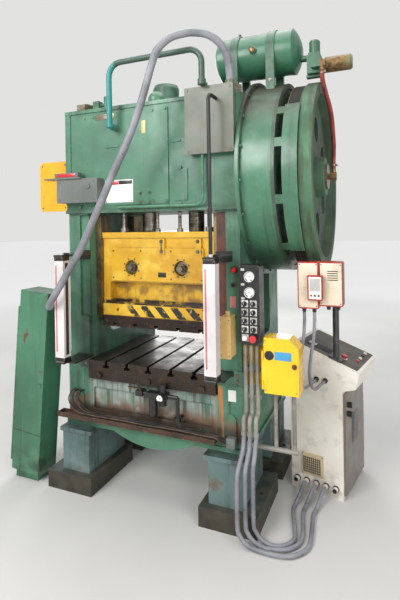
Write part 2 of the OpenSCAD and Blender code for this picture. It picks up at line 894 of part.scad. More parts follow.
module yellow_box() {
    x = -half - 298;
    z = crown_z0 + 22;
    color([0.93, 0.78, 0.15])
        union() {
            front_box([x + 8, x + 228], [-350, -170], [z + 8, z + 328], 26);
            front_box([x, x + 236], [-362, -349], [z, z + 336], 30);
            for (k = [43, 228])
                blk([x + 225, -half], [-330, -300], [z + k, z + k + 60]);
        }
}

module grey_box() {
    x = -half - 18;
    y = crown_front - 8;
    z = crown_z0 + 65;
    color([0.6, 0.6, 0.56])
        union() {
            front_box([x, x + 308], [y - 66, y], [z, z + 150], 6);
            blk([x - 90, x + 190], [y - 80, y - 2], [z + 150, z + 158]);
            blk([x - 20, x + 160], [y - 60, y - 15], [z + 158, z + 190]);
            rod_y(x + 240, [y - 72, y - 65], z + 100, 16);
        }
}

module curtain(x) {
    union() {
        front_box([x, x + curtain_w], [curtain_y - 30, curtain_y + 30],
                  [curtain_z, curtain_z + curtain_h], 6);
        rod_z(x + curtain_w / 2, curtain_y,
              [curtain_z + curtain_h + 10, curtain_z + curtain_h + 24], 12);
    }
}

module curtains() {
    color([0.9, 0.88, 0.86]) {
        curtain(curtain_x[0]);
        curtain(curtain_x[1]);
    }
}

// Angle brackets that carry the curtain heads at their bottoms and tops.
module curtain_brackets() {
    color([0.12, 0.12, 0.12])
        for (x = curtain_x)
            for (top = [0, 1]) {
                xx = x < 0 ? [x, x + 110] : [x - 6, x + 90];
                z = top == 1 ? curtain_z + curtain_h : curtain_z - 18;
                y = -frame_hd - (top == 1 ? 0 : 6);
                union() {
                    blk(xx, [curtain_y + 15, y], [z, z + 10]);
                    blk(xx, [y - 8, y], [z - (top == 1 ? 30 : 16), z + (top == 1 ? 30 : 14)]);
                    blk([x + 6, x + curtain_w - 6], [curtain_y + 30, curtain_y + 38],
                        [z - top * 60, z + 40 - top * 20]);
                    blk([x, x + curtain_w], [curtain_y - 35, curtain_y + 38],
                        [top == 1 ? z : z + 8, top == 1 ? z + 10 : z + 18]);
                }
            }
}

module cream_box() {
    y = -frame_hd;
    z = cheek_z + 177;
    color([0.88, 0.75, 0.48])
        union() {
            front_box([half - 92, half - 32], [y - 90, y], [z + 3, z + 225], 4);
            front_box([half - 95, half - 29], [y - 96, y - 90], [z, z + 228], 4);
            rod_z(half - 62, y - 45, [z + 225, z + 249], 13);
        }
}

// Places of the controls on the panel: two gauges, then five rows of two.
panel_spots = concat(
    [[panel_x + 4, panel_z1 - 62], [panel_x + 4, panel_z1 - 147]],
    [for (k = [0 : 4], s = [-1, 1])
        [panel_x + s * 24, panel_z1 - 208 - k * row_p]]);

// The black panel: a box with bores for its switches, and a legend plate round each.
module panel() {
    x = [half + 1, half + 1 + panel_w];
    z = [panel_z1 - panel_h, panel_z1];
    color([0.08, 0.08, 0.08])
        difference() {
            union() {
                front_box(x, [panel_y, panel_y + 90], z, 8);
                for (i = [2 : 9])
                    blk([panel_spots[i][0] - 20, panel_spots[i][0] + 20],
                        [panel_y - 2, panel_y], [panel_spots[i][1] - 20, panel_spots[i][1] + 20]);
                blk([half, half + 6], [panel_y + 46, panel_y + 84], [z[0] + 20, z[1] - 20]);
            }
            for (i = [2 : 11])
                rod_y(panel_spots[i][0], [panel_y - 3, panel_y + 40], panel_spots[i][1],
                      stem_r + 0.05);
        }
}

// Two round meters with a raised rim and a cover over the lower part of the dial.
module panel_gauges() {
    color([0.92, 0.92, 0.9])
        for (i = [0, 1])
            translate([panel_spots[i][0], panel_y, panel_spots[i][1]])
                rotate([90, 0, 0])
                    union() {
                        cylinder(h = 8, r = dial_r);
                        difference() {
                            cylinder(h = 14, r = dial_r);
                            translate([0, 0, 7])
                                cylinder(h = 8, r = dial_r - 3);
                        }
                        translate([0, -dial_r + 9, 0])
                            cylinder(h = 12, r = 8);
                    }
}

// A stem in the panel's bore, with a head in front of it.
module control(i, head_r, head_l) {
    p = panel_spots[i];
    union() {
        rod_y(p[0], [panel_y - 8, panel_y + 34], p[1], stem_r);
        rod_y(p[0], [panel_y - 8 - head_l, panel_y - 8], p[1], head_r);
    }
}

// A selector switch: a round base with a raised pointer grip.
module selector(i) {
    p = panel_spots[i];
    color([0.1, 0.1, 0.1])
        union() {
            control(i, 14, 6);
            blk([p[0] - 4, p[0] + 4], [panel_y - 26, panel_y - 13], [p[1] - 14, p[1] + 14]);
        }
}

module white_button() {
    color([0.9, 0.9, 0.88])
        control(10, 13, 8);
}

module stop_button() {
    color([0.75, 0.1, 0.1])
        union() {
            control(11, 12, 10);
            rod_y(panel_spots[11][0], [panel_y - 30, panel_y - 17], panel_spots[11][1], 19);
        }
}

ox = half + 140;
oz = cheek_z + 7;
oy = -frame_hd - 50;
op_pipe_y = oy + 75;

// The outline of the yellow operator box, with its upper right corner cut off.
module opbox_shape(e = 0) {
    polygon([[ox + e, oz + e], [ox + opbox_w - e, oz + e], [ox + opbox_w - e, oz + opbox_h - 50],
             [ox + opbox_w - 50, oz + opbox_h - e], [ox + e, oz + opbox_h - e]]);
}

module operator_box() {
    color([0.93, 0.78, 0.15])
        union() {
            difference() {
                translate([0, oy + 110, 0])
                    rotate([90, 0, 0])
                        linear_extrude(110)
                            opbox_shape();
                translate([0, oy + 110 - sheet, 0])
                    rotate([90, 0, 0])
                        linear_extrude(200)
                            opbox_shape(sheet);
            }
            blk([half + 12, ox], [oy + 72, oy + 86], [oz + 10, cheek_z + 84]);
            blk([half, ox], [oy + 72, oy + 86], [oz + 120, oz + 225]);
            for (x = [ox + 40, ox + 140])
                rod_z(x, op_pipe_y, [oz - 22, oz], 16);
            for (z = [oz + 20, oz + 180]) {
                rod_z(ox - 9, oy - 2, [z, z + 44], hinge_r);
                blk([ox - 9, ox + 1], [oy, oy + 5], [z, z + 44]);
            }
        }
}

// The box's door, with its hinge barrels between the body's on the left edge.
module operator_door() {
    color([0.95, 0.8, 0.17])
        union() {
            difference() {
                translate([0, oy - 0.4, 0])
                    rotate([90, 0, 0])
                        linear_extrude(7)
                            opbox_shape(1);
                rod_y(ox + opbox_w - 22, [oy - 20, oy + 5], oz + 155, 9.1);
            }
            rod_z(ox - 9, oy - 2, [oz + 66, oz + 178], hinge_r);
            blk([ox - 9, ox + 2], [oy - 7.4, oy - 2.4], [oz + 66, oz + 178]);
        }
}

module key_switch() {
    x = ox + opbox_w - 22;
    z = oz + 155;
    color([0.7, 0.66, 0.58])
        union() {
            rod_y(x, [oy - 12, oy - 0.5], z, 9);
            rod_y(x, [oy - 14, oy - 8], z, 13);
            blk([x - 2, x + 2], [oy - 32, oy - 13], [z - 9, z + 9]);
        }
}

// Filter bowl, regulator body, gauge and pipework on the bed's front.
module air_filter() {
    y = -frame_hd + 14 - 56;
    color([0.12, 0.12, 0.12])
        difference() {
            union() {
                rod_z(45, y, [545, 640], 27);
                translate([45, y, 545])
                    intersection() {
                        sphere(r = 27);
                        blk([-30, 30], [-30, 30], [-30, 0]);
                    }
                blk([10, 140], [y - 26, y + 26], [640, 672]);
                rod_z(110, y, [600, 640], 22);
                rod_z(110, y, [672, 682], 20);
                rod_y(110, [y - 44, y - 25], 655, 26);
                rod_x([-60, 10], y, 656, 11);
                blk([-66, -20], [y - 20, y + 20], [640, 672]);
                rod_x([140, 205], y, 656, 11);
                rod_z(205, y, [520, 656], 11);
                rod_z(205, y, [520, 545], 18);
                rod_y(205, [y, -frame_hd + 14], 532, 11);
                for (x = [-43, 75])
                    blk([x - 15, x + 15], [y + 20, -frame_hd], [645, 668]);
            }
            rod_z(110, y, [664, 683], 6.05);
        }
}

module air_valve_lever() {
    y = -frame_hd + 14 - 56;
    color([0.75, 0.6, 0.3])
        union() {
            rod_z(-43, y, [672.3, 684], 9);
            blk([-125, -36], [y - 7, y + 7], [678, 684]);
        }
}

module regulator_knob() {
    y = -frame_hd + 14 - 56;
    color([0.1, 0.1, 0.1])
        union() {
            rod_z(110, y, [666, 690], 6);
            rod_z(110, y, [682.3, 722], 19);
        }
}

// The gutter that runs along the bed's front, with its left end turned to the foot.
module drip_trough() {
    x = [-half - 58, half - 142];
    y = [-frame_hd - 76, -frame_hd - 12];
    z = bed_z0 + 60;
    color([0.25, 0.24, 0.2])
        union() {
            difference() {
                blk(x, y, [z, z + 28]);
                blk([x[0] + 6, x[1] - 6], [y[0] + 6, y[1] - 4], [z + 4, z + 30]);
            }
            for (i = [0 : 3])
                rod_x([x[0] + 40, x[1] - 10], y[0] + 14 + i * 13, z + 10, 5.5);
            for (i = [-up_in - 3, 0, up_in - 37])
                blk([i, i + 20], [y[1], -frame_hd], [z + 4, z + 24]);
        }
}

module conduits() {
    color([0.55, 0.56, 0.53]) {
        crown_conduits();
        panel_conduits();
    }
}

// Conduits clipped to the crown's front, and the overhead pipe with its cable.
module crown_conduits() {
    y = crown_front - 36;
    y2 = crown_front - 80;
    z = crown_z0 + 29;
    z2 = crown_z1 + 150;
    x1 = half - 194;
    x2 = half - 172;
    x3 = curtain_x[1] + curtain_w / 2;
    union() {
        rod_z(x1, y, [z + 48, crown_z1 - 340], 9);
        translate([x1 - 48, y, z + 48])
            mirror([0, 0, 1])
                bend(48, 9);
        rod_x([-165, x1 - 48], y, z, 9);
        rod_y(-165, [y, crown_front], z, 9);
        for (x = [-60, 100, 300])
            blk([x - 10, x + 10], [y, crown_front], [z - 6, z + 6]);
    }
    union() {
        rod_y(-190, [y2, crown_front - 8], crown_z1 - 140, 20);
        rod_z(-190, y2, [crown_z1 - 150, z2], 17);
        translate([-110, y2, z2])
            mirror([1, 0, 0])
                bend(80, 17);
        rod_x([-110, x2 - 80], y2, z2 + 80, 17);
        translate([x2 - 80, y2, z2])
            bend(80, 17);
        rod_z(x2, y2, [crown_z1 + 26, z2], 17);
        rod_z(x2, y2, [crown_z1 + 26, crown_z1 + 56], 23);
        blk([x2 - 15, x2 + 15], [y2, crown_front - 32], [crown_z1 + 26, crown_z1 + 46]);
    }
    union() {
        rod_z(x3, curtain_y, [curtain_z + curtain_h + 24, crown_z1 - 90], 10);
        translate([x3, curtain_y + 40, crown_z1 - 90])
            rotate([0, 0, 90])
                mirror([1, 0, 0])
                    bend(40, 10);
        rod_y(x3, [curtain_y + 40, crown_front - 56], crown_z1 - 50, 10);
    }
}

// Conduits below the panel and the operator box, down the right upright.
module panel_conduits() {
    y = -frame_hd - 10;
    for (x = [half + 24, half + 58, half + 92])
        union() {
            rod_z(x, y, [640, panel_z1 - panel_h], 11.5);
            translate([x, y - 25, 640])
                rotate([0, 0, 90])
                    mirror([0, 0, 1])
                        bend(25, 11.5);
            translate([x, y - 25, 590])
                rotate([0, 0, -90])
                    bend(25, 11.5);
            rod_z(x, y - 50, [520, 590], 11.5);
            rod_z(x, y - 50, [520, 542], 15);
        }
    union() {
        for (x = [ox + 40, ox + 140])
            rod_z(x, op_pipe_y, [bed_z0 + 52, oz - 22], 11);
        rod_x([half + 30, ox + 160], op_pipe_y, bed_z0 + 50, 13);
        blk([half + 18, half + 32], [op_pipe_y - 20, op_pipe_y + 20], [bed_z0 + 30, bed_z0 + 72]);
    }
    union() {
        blk([half + 18, half + 108], [y + 4, y + 16], [bed_z1 + 10, bed_z1 + 30]);
        blk([half + 18, half + 30], [y + 4, y + 40], [bed_z1 + 5, bed_z1 + 35]);
    }
}

module thick_conduit() {
    color([0.55, 0.55, 0.55])
        tube(thick_route, conduit_d / 2, [0, 1, 0]);
}

module console_leads() {
    color([0.6, 0.6, 0.6])
        for (r = lead_routes)
            tube(r, lead_d / 2, [1, 0, 0], 8);
}

// Places things in the tall cabinet's own frame: its foot corner, leaning to the press.
module tall_place() {
    translate(tall_at(0, 0, 0))
        rotate([0, tall_lean, 0])
            children();
}

module tall_cabinet() {
    t = sheet;
    color([0.36, 0.56, 0.44])
        union() {
            tall_place()
                difference() {
                    blk([0, tall_w], [0, tall_d], [0, tall_h]);
                    blk([t, tall_w - t], [-1, tall_d - t], [t, tall_h - t]);
                }
            tall_place()
                translate([tall_w, 60, tall_h - 60])
                    rotate([0, 90, -60])
                        translate([0, 0, -12])
                            cylinder(h = gland_l + 12, r = 26);
            intersection() {
                tall_place()
                    blk([20, tall_w - 20], [20, tall_d], [-90, 0]);
                blk([-half - 700, 0], [-frame_hd - 200, 0], [0, 400]);
            }
            tall_place()
                for (z = [60, tall_h - 160])
                    rod_z(-7, -2, [z, z + 50], hinge_r);
            tall_place()
                for (z = [60, tall_h - 160])
                    blk([-7, 1], [0, 5], [z, z + 50]);
            tall_stay();
        }
}

// The bolt that ties the cabinet to the left upright's foot.
module tall_stay() {
    difference() {
        union() {
            rod_x([-half - 178, -half - 12], -frame_hd + 10, cheek_z + 40, 12);
            rod_x([-half - 138, -half - 68], -frame_hd + 10, cheek_z + 40, 18);
        }
        tall_place()
            blk([-50, tall_w - 2], [-50, tall_d + 50], [0, tall_h]);
    }
}

module tall_door() {
    color([0.38, 0.58, 0.46])
        tall_place()
            union() {
                blk([1, tall_w - 1], [-4.4, -0.4], [2, tall_h - 2]);
                rod_z(-7, -2, [112, tall_h - 162], hinge_r);
                blk([-7, 2], [-4.4, -0.6], [112, tall_h - 162]);
                rod_y(tall_w - 24, [-14, -4], tall_h / 2, 12);
            }
}

// Places things in the console's own frame: its near left corner, turned to the right.
module console_place() {
    translate(console_at(0, 0, 0))
        rotate([0, 0, -11])
            children();
}

desk_x = 426;
desk_z = 775;
desk_a = atan((console_h - desk_z) / (desk_x - 25));
door_z0 = 30;
door_z1 = 630;

// Places things on the sloping desk, at a distance from the console's left side.
module on_desk(x, y) {
    console_place()
        translate([x, y, desk_z + (desk_x - x) * tan(desk_a)])
            rotate([0, desk_a, 0])
                children();
}

// The console's side outline, in its own X and Z.
module console_shape(e = 0) {
    polygon([[e, e], [console_w - e, e], [console_w - e, 650 + e], [402, 676 + e * 1.2],
             [desk_x - e, desk_z - e], [25 + e, console_h - e * 1.4], [e, console_h - 58]]);
}

module console() {
    color([0.9, 0.88, 0.85])
        difference() {
            console_place()
                console_body();
            on_desk(300, 120)
                translate([0, 0, -40])
                    cylinder(h = 80, r = 10.05);
        }
}

module console_body() {
    t = sheet;
    w = console_w;
    union() {
        difference() {
            translate([0, console_d, 0])
                rotate([90, 0, 0])
                    linear_extrude(console_d)
                        console_shape();
            translate([0, console_d - t, 0])
                rotate([90, 0, 0])
                    linear_extrude(console_d - 2 * t)
                        console_shape(t);
            blk([w - t - 1, w + 1], [20, console_d - 20], [door_z0 + 6, door_z1 - 6]);
        }
        blk([70, 205], [-10, 0], [105, 235]);
        blk([82, 193], [-16, -10], [117, 223]);
        for (x = [40, 100, 160, 220, 280])
            rod_y(x, [-30, 0], 64, 16);
        for (z = [door_z0 + 40, door_z1 - 110]) {
            rod_z(w + 7.2, console_d - 2, [z, z + 60], hinge_r);
            blk([w - 1, w + 7], [console_d - 6, console_d], [z, z + 60]);
        }
    }
}

module console_door() {
    w = console_w;
    color([0.5, 0.49, 0.47])
        console_place()
            difference() {
                union() {
                    blk([w + 0.4, w + 14], [10, console_d - 12], [door_z0, door_z1]);
                    rod_z(w + 7.2, console_d - 2, [door_z0 + 102, door_z1 - 112], hinge_r);
                    blk([w + 4, w + 10], [console_d - 14, console_d - 3],
                        [door_z0 + 102, door_z1 - 112]);
                }
                for (z = console_latch_z)
                    rod_x([w - 1, w + 20], 60, z, 8.05);
            }
}

console_latch_z = [560, 505];

// A wing latch on the console's door.
module latch(z) {
    w = console_w;
    color([0.08, 0.08, 0.08])
        console_place()
            union() {
                rod_x([w + 0.4, w + 20], 60, z, 8);
                rod_x([w + 14.3, w + 24], 60, z, 17);
                blk([w + 24, w + 40], [56, 64], [z - 17, z + 17]);
            }
}

module latch_upper() {
    latch(console_latch_z[0]);
}

module latch_lower() {
    latch(console_latch_z[1]);
}

module console_switch() {
    color([0.7, 0.15, 0.12])
        on_desk(300, 120)
            union() {
                translate([0, 0, -30])
                    cylinder(h = 40, r = 10);
                translate([0, 0, 2])
                    cylinder(h = 18, r = 17);
            }
}

// Two flat boxes and a small display on a post that stands on the console.
module monitor_boxes() {
    x = half + 453;
    color([0.75, 0.2, 0.18]) {
        union() {
            on_desk(276, 48)
                blk([-40, 40], [-35, 35], [0.05, 14]);
            rod_z(x, 20, [838, 1330], 19);
            blk([x - 19, x + 19], [-215, 20], [1240, 1276]);
        }
        union() {
            front_box([x - 163, x - 50], [-315, -235], [1185, 1440], 8);
            front_box([x - 50, x + 75], [-300, -215.3], [1200, 1440], 8);
            front_box([x - 105, x - 25], [-345, -315], [1235, 1370], 6);
        }
    }
}

feet();
bed();
upright_left();
upright_right();
crown();
tie_rods();
gibs();
slide();
slide_plate();
plungers();
adjuster_left();
adjuster_right();
bolster();
drum_housing();
flywheel();
drive_shaft();
rotary_union();
motor();
motor_sheave();
v_belts();
tank();
tank_straps();
clutch_valve();
red_hose();
grey_panel();
yellow_box();
grey_box();
curtains();
curtain_brackets();
cream_box();
panel();
panel_gauges();
selector(2);  // selector_1
selector(3);  // selector_2
selector(4);  // selector_3
selector(5);  // selector_4
selector(6);  // selector_5
selector(7);  // selector_6
selector(8);  // selector_7
selector(9);  // selector_8
white_button();
stop_button();
operator_box();
operator_door();
key_switch();
air_filter();
air_valve_lever();
regulator_knob();
drip_trough();
conduits();
thick_conduit();
console_leads();
tall_cabinet();
tall_door();
console();
console_door();
latch_upper();
latch_lower();
console_switch();
monitor_boxes();
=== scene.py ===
import math
import bmesh
import bpy
from mathutils import Matrix, Vector


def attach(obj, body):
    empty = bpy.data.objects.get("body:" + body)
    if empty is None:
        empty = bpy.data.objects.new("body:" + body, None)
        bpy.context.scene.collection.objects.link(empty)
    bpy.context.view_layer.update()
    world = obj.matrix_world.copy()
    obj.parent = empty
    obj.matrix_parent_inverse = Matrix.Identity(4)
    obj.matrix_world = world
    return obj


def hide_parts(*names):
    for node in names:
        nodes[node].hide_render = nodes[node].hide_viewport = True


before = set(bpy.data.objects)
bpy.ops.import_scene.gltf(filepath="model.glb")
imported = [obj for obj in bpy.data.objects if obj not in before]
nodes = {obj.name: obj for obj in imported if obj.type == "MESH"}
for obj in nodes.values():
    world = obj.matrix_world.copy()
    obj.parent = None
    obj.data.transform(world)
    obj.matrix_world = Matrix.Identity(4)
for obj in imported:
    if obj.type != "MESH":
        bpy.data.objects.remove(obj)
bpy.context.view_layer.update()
scene = bpy.context.scene


def rgb(r, g, b):
    """A colour given as it is seen, turned into the linear one that Blender mixes."""
    return tuple(((c / 255 + 0.055) / 1.055) ** 2.4 if c > 10 else c / 3295 for c in (r, g, b)) + (1.0,)


def edges(node_name):
    """The lowest and the highest corner of a node."""
    node = nodes[node_name]
    corners = [node.matrix_world @ Vector(c) for c in node.bound_box]
    return [[pick(c[i] for c in corners) for i in range(3)] for pick in (min, max)]


def middle(node_name):
    """The middle of a node's box."""
    return [(low + high) / 2 for low, high in zip(*edges(node_name))]


SELECTORS = [f"selector_{k}" for k in range(1, 9)]

# The leaning cabinet and the turned console. Desk and filter places are in the console's own frame.
CONSOLE_AT = (0.752, 0.03)
CONSOLE_TURN = math.radians(11)
DESK_RISE, DESK_RUN = 0.137, 0.401
DESK_SLOPE = math.atan(DESK_RISE / DESK_RUN)
DESK_X, DESK_Y = (0.045, 0.408), (0.018, 0.402)
DESK_LOW_EDGE = (0.426, 0.775)
FILTER_Z = (0.1, 0.24)
TALL_AT, TALL_LEAN = (-0.9895, -0.545, 0.06), math.radians(5)


# Camera

CAMERA_AT = (1.35, -2.8, 1.65)
CAMERA_YAW = math.radians(23.0)
CAMERA_ROLL = math.radians(-0.9)
LENS_MM, SENSOR_MM = 27.0, 36.0
LENS_SHIFT = -0.125


def set_camera():
    ahead = Vector((-math.sin(CAMERA_YAW), math.cos(CAMERA_YAW), 0))
    level = Vector((math.cos(CAMERA_YAW), math.sin(CAMERA_YAW), 0))
    upright = Vector((0, 0, 1))
    right = math.cos(CAMERA_ROLL) * level + math.sin(CAMERA_ROLL) * upright
    up = -math.sin(CAMERA_ROLL) * level + math.cos(CAMERA_ROLL) * upright
    data = bpy.data.cameras.new("camera")
    data.lens = LENS_MM
    data.sensor_width = SENSOR_MM
    data.shift_y = LENS_SHIFT
    camera = bpy.data.objects.new("camera", data)
    turn = Matrix((right, up, -ahead)).transposed().to_4x4()
    camera.matrix_world = Matrix.Translation(CAMERA_AT) @ turn
    scene.collection.objects.link(camera)
    scene.camera = camera


set_camera()


# Shader sums

class Value:
    """A number or colour on its way through a material."""

    def __init__(self, look, socket):
        self.look = look
        self.socket = socket

    def sum(self, kind, a, b=0.0):
        return self.look.node("Math", {"operation": kind}, {0: a, 1: b})

    def __add__(self, other):
        return self.sum("ADD", self, other)

    __radd__ = __add__

    def __sub__(self, other):
        return self.sum("SUBTRACT", self, other)

    def __rsub__(self, other):
        return self.sum("SUBTRACT", other, self)

    def __mul__(self, other):
        return self.sum("MULTIPLY", self, other)

    __rmul__ = __mul__

    def __mod__(self, other):
        return self.sum("FLOORED_MODULO", self, other)

    def __pow__(self, other):
        return self.sum("POWER", self, other)

    def __abs__(self):
        return self.sum("ABSOLUTE", self)


class Look:
    """A material. Its place is the point on the part, in metres, at rest."""

    def __init__(self, name):
        self.mat = bpy.data.materials.new(name)
        self.mat.use_nodes = True
        self.tree = self.mat.node_tree
        self.tree.nodes.clear()
        self.place = self.node("TexCoord", out="Object")
        self.x, self.y, self.z = (self.node("SeparateXYZ", {}, {"Vector": self.place}, k) for k in "XYZ")

    def node(self, kind, settings={}, sockets={}, out=0):
        made = self.tree.nodes.new("ShaderNode" + kind)
        for key, value in settings.items():
            setattr(made, key, value)
        for key, value in sockets.items():
            if isinstance(value, Value):
                self.tree.links.new(value.socket, made.inputs[key])
            else:
                made.inputs[key].default_value = value
        return Value(self, made.outputs[out])

    def noise(self, scale, detail=4, rough=0.55, squeeze=(1, 1, 1), shift=0.0):
        """Cloudy noise of about 0.3 to 0.7. squeeze packs it along an axis, shift moves it elsewhere."""
        spot = self.node("Mapping", {}, {"Vector": self.place, "Scale": squeeze, "Location": (shift,) * 3})
        return self.node("TexNoise", {}, {"Vector": spot, "Scale": scale, "Detail": detail,
                                          "Roughness": rough})

    def ease(self, value, low, high):
        """0 below low, 1 above high and smooth between."""
        return self.node("MapRange", {"interpolation_type": "SMOOTHSTEP"},
                         {"Value": value, "From Min": low, "From Max": high})

    def cloud(self, low, high, *noise, **more):
        """Noise eased from 0 at low to 1 at high, so a share of the surface is covered in patches."""
        return self.ease(self.noise(*noise, **more), low, high)

    def band(self, value, low, high, soft=0.002):
        """1 from low to high, 0 outside."""
        return self.ease(value, low - soft, low + soft) * (1 - self.ease(value, high - soft, high + soft))

    def mix(self, share, a, b):
        """Colour a, with a share of b over it."""
        return self.node("Mix", {"data_type": "RGBA"}, {0: share, 6: a, 7: b}, 2)

    def rims(self, reach=0.007):
        """1 where two faces meet within reach, 0 on open faces."""
        soft = self.node("Bevel", {"samples": 3}, {"Radius": reach})
        flat = self.node("NewGeometry", out="Normal")
        agree = self.node("VectorMath", {"operation": "DOT_PRODUCT"}, {0: soft, 1: flat}, "Value")
        return self.ease(1 - agree, 0.01, 0.2)

    def facing_up(self):
        """1 on faces that look up, where dust and oil settle."""
        normal = self.node("NewGeometry", out="Normal")
        return self.ease(self.node("SeparateXYZ", {}, {"Vector": normal}, "Z"), 0.6, 0.95)

    def done(self, colour, rough=0.5, metal=0.0, height=None, depth=0.0006, coat=0.0, glow=None, shine=0.5):
        """Closes the material. height is a relief of the given depth in metres."""
        sockets = {"Base Color": colour, "Roughness": rough, "Metallic": metal, "Coat Weight": coat,
                   "Coat Roughness": 0.18}
        if height is not None:
            sockets["Normal"] = self.node("Bump", {}, {"Height": height, "Strength": 0.8, "Distance": depth})
        if glow is not None:
            sockets["Emission Color"] = glow
            sockets["Emission Strength"] = shine
        shader = self.node("BsdfPrincipled", {}, sockets)
        out = self.tree.nodes.new("ShaderNodeOutputMaterial")
        self.tree.links.new(shader.socket, out.inputs["Surface"])
        return self.mat


OIL = rgb(38, 33, 24)
BARE = rgb(150, 142, 128)
GREASE = rgb(30, 24, 18)


def aged(look, coat, deep, pale, runs=0.5, specks=0.4, worn=0.4, shift=0.0, edge=0.007):
    """Old enamel: cloudy patches, oil runs down the sides, specks, grime and rubbed edges."""
    colour = look.mix(look.cloud(0.36, 0.7, 1.7, 5, shift=shift), coat, deep)
    colour = look.mix(look.cloud(0.5, 0.78, 5.0, 6, 0.65, shift=shift + 4) * 0.55, colour, pale)
    trail = look.cloud(0.5, 0.74, 1.0, 5, 0.6, (15, 15, 0.9), shift)
    where = look.cloud(0.42, 0.62, 1.1, 3, shift=shift + 9)
    colour = look.mix(trail * where * runs, colour, OIL)
    pale_trail = look.cloud(0.58, 0.76, 1.3, 4, 0.6, (22, 22, 1.1), shift + 2)
    colour = look.mix(pale_trail * 0.3, colour, pale)
    colour = look.mix(look.cloud(0.62, 0.74, 60, 3, 0.7, shift=shift) * specks, colour, OIL)
    colour = look.mix(look.facing_up() * look.cloud(0.3, 0.6, 6, 5) * 0.55, colour, OIL)
    rim = look.rims(edge)
    chip = look.cloud(0.45, 0.6, 26, 4, 0.6, shift=shift)
    colour = look.mix(rim * (1 - chip) * 0.6 * worn, colour, OIL)
    return look.mix(rim * chip * worn, colour, pale)


def aged_rough(look, low=0.3, high=0.62):
    """Roughness in patches, from low where the paint shines to high where it is dull."""
    return low + (high - low) * look.cloud(0.3, 0.7, 9, 4, 0.6)


def brushed(look):
    """The relief of brush marks and slow waves in thick paint."""
    return look.noise(55, 3, 0.5, (1, 1, 0.25)) * 0.6 + look.noise(7, 3) * 0.8


# The press's finishes. Places are in metres, in the frame that all pieces share.

GREEN, GREEN_DEEP, GREEN_PALE = rgb(82, 130, 104), rgb(54, 96, 74), rgb(122, 162, 138)

# Heights of the crown's lower and upper edge, and the uprights' inner faces.
CROWN_FOOT, CROWN_TOP = 1.735, 2.39
UPRIGHT_INNER = 0.437
# The rusty strip beside the slide on each upright, in x, y and z.
STRIP_RIGHT, STRIP_LEFT = (0.438, 0.4985), (-0.5835, -0.5185)
STRIP_Y, STRIP_Z = (-0.4165, -0.2), (1.081, 1.722)
# The bed's sunk front field in x, y and z, the front's stained height and half its width, the oily line
# along its top, and the run of rust at its right.
BED_RECESS = ((-0.409, 0.409), (-0.5, -0.414), (0.498, 0.634))
BED_FRONT_Z, BED_FRONT_HALF = (0.44, 0.72), 0.43
BED_OILY_Z = (0.66, 0.70)
BED_RUN_X, BED_RUN_Z = (0.434, 0.478), (0.44, 0.74)
# The top of the feet's bases.
BASE_TOP = 0.111
# Where the drum turns brown above, from oil and a painted reflection, and darker below; its rim, with
# painted shade on its end face, and its flange.
DRUM_OIL_AND_REFLECTION_Z, DRUM_UNDER_Z = (2.08, 2.4), (1.38, 1.62)
DRUM_RIM_X, DRUM_FLANGE_X = (0.771, 0.7905), (0.6, 0.606)
# Where the clutch valve's bronze silencer and its cap begin.
SILENCER_X, SILENCER_CAP_X = 0.985, 1.125
# The flywheel's axis and radius, its belt grooves, and the face of its web, darkened inside the rim with
# painted shade, and the shade's inner edge.
WHEEL_Y, WHEEL_Z = middle("flywheel")[1:]
WHEEL_R = 0.57
GROOVES_X = (0.837, 0.901)
WEB_X, HUB_R = (0.87, 0.88), (0.10, 0.14)
# The slide's front face, the oily spots round its two bores, the pocket along its foot with the greasy
# ledge below it, and its hazard stripes.
SLIDE_FRONT = -0.334
BORE_X, BORE_Z = 0.174, 1.375
POCKET_HALF, POCKET_Z = 0.344, (1.156, 1.294)
LEDGE_Z = (1.145, 1.172)
STRIPES_Z, STRIPE_PITCH = (1.077, 1.146), 0.107


def crown_green():
    look = Look("crown_green")
    colour = aged(look, GREEN, GREEN_DEEP, GREEN_PALE, 0.7, 0.45, 0.55)
    smear = look.cloud(0.56, 0.74, 2.4, 6, 0.7, (1, 1, 0.6), 7)
    colour = look.mix(smear * 0.45, colour, rgb(46, 62, 46))
    top = look.ease(look.z, CROWN_TOP - 0.06, CROWN_TOP)
    colour = look.mix(top * look.cloud(0.42, 0.62, 5, 5) * 0.5, colour, OIL)
    foot = 1 - look.ease(look.z, CROWN_FOOT, CROWN_FOOT + 0.055)
    colour = look.mix(foot * look.cloud(0.35, 0.6, 7, 4) * 0.55, colour, OIL)
    return look.done(colour, aged_rough(look), height=brushed(look), coat=0.12)


def upright_green():
    look = Look("upright_green")
    colour = aged(look, GREEN, GREEN_DEEP, GREEN_PALE, 0.85, 0.55, 0.55, 3.0)
    inner = 1 - look.ease(abs(look.x), UPRIGHT_INNER - 0.0005, UPRIGHT_INNER + 0.0005)
    oil = look.cloud(0.42, 0.66, 1.4, 5, 0.6, (9, 9, 0.9), 6)
    # Patchy runs on all faces, and the inner faces beside the slide made darker still.
    colour = look.mix(oil * 0.4 + inner * 0.45 * oil, colour, OIL)
    strip = look.band(look.x, *STRIP_RIGHT, 0.0008) + look.band(look.x, *STRIP_LEFT, 0.0008)
    strip = strip * look.band(look.z, *STRIP_Z, 0.001) * look.band(look.y, *STRIP_Y, 0.001)
    rust = look.mix(look.cloud(0.35, 0.7, 9, 5), rgb(96, 46, 28), rgb(58, 32, 24))
    colour = look.mix(strip, colour, rust)
    low = (1 - look.ease(look.z, 0.76, 0.9)) * look.cloud(0.36, 0.6, 6, 4)
    colour = look.mix(low * 0.5, colour, OIL)
    return look.done(colour, aged_rough(look), height=brushed(look), coat=0.1)


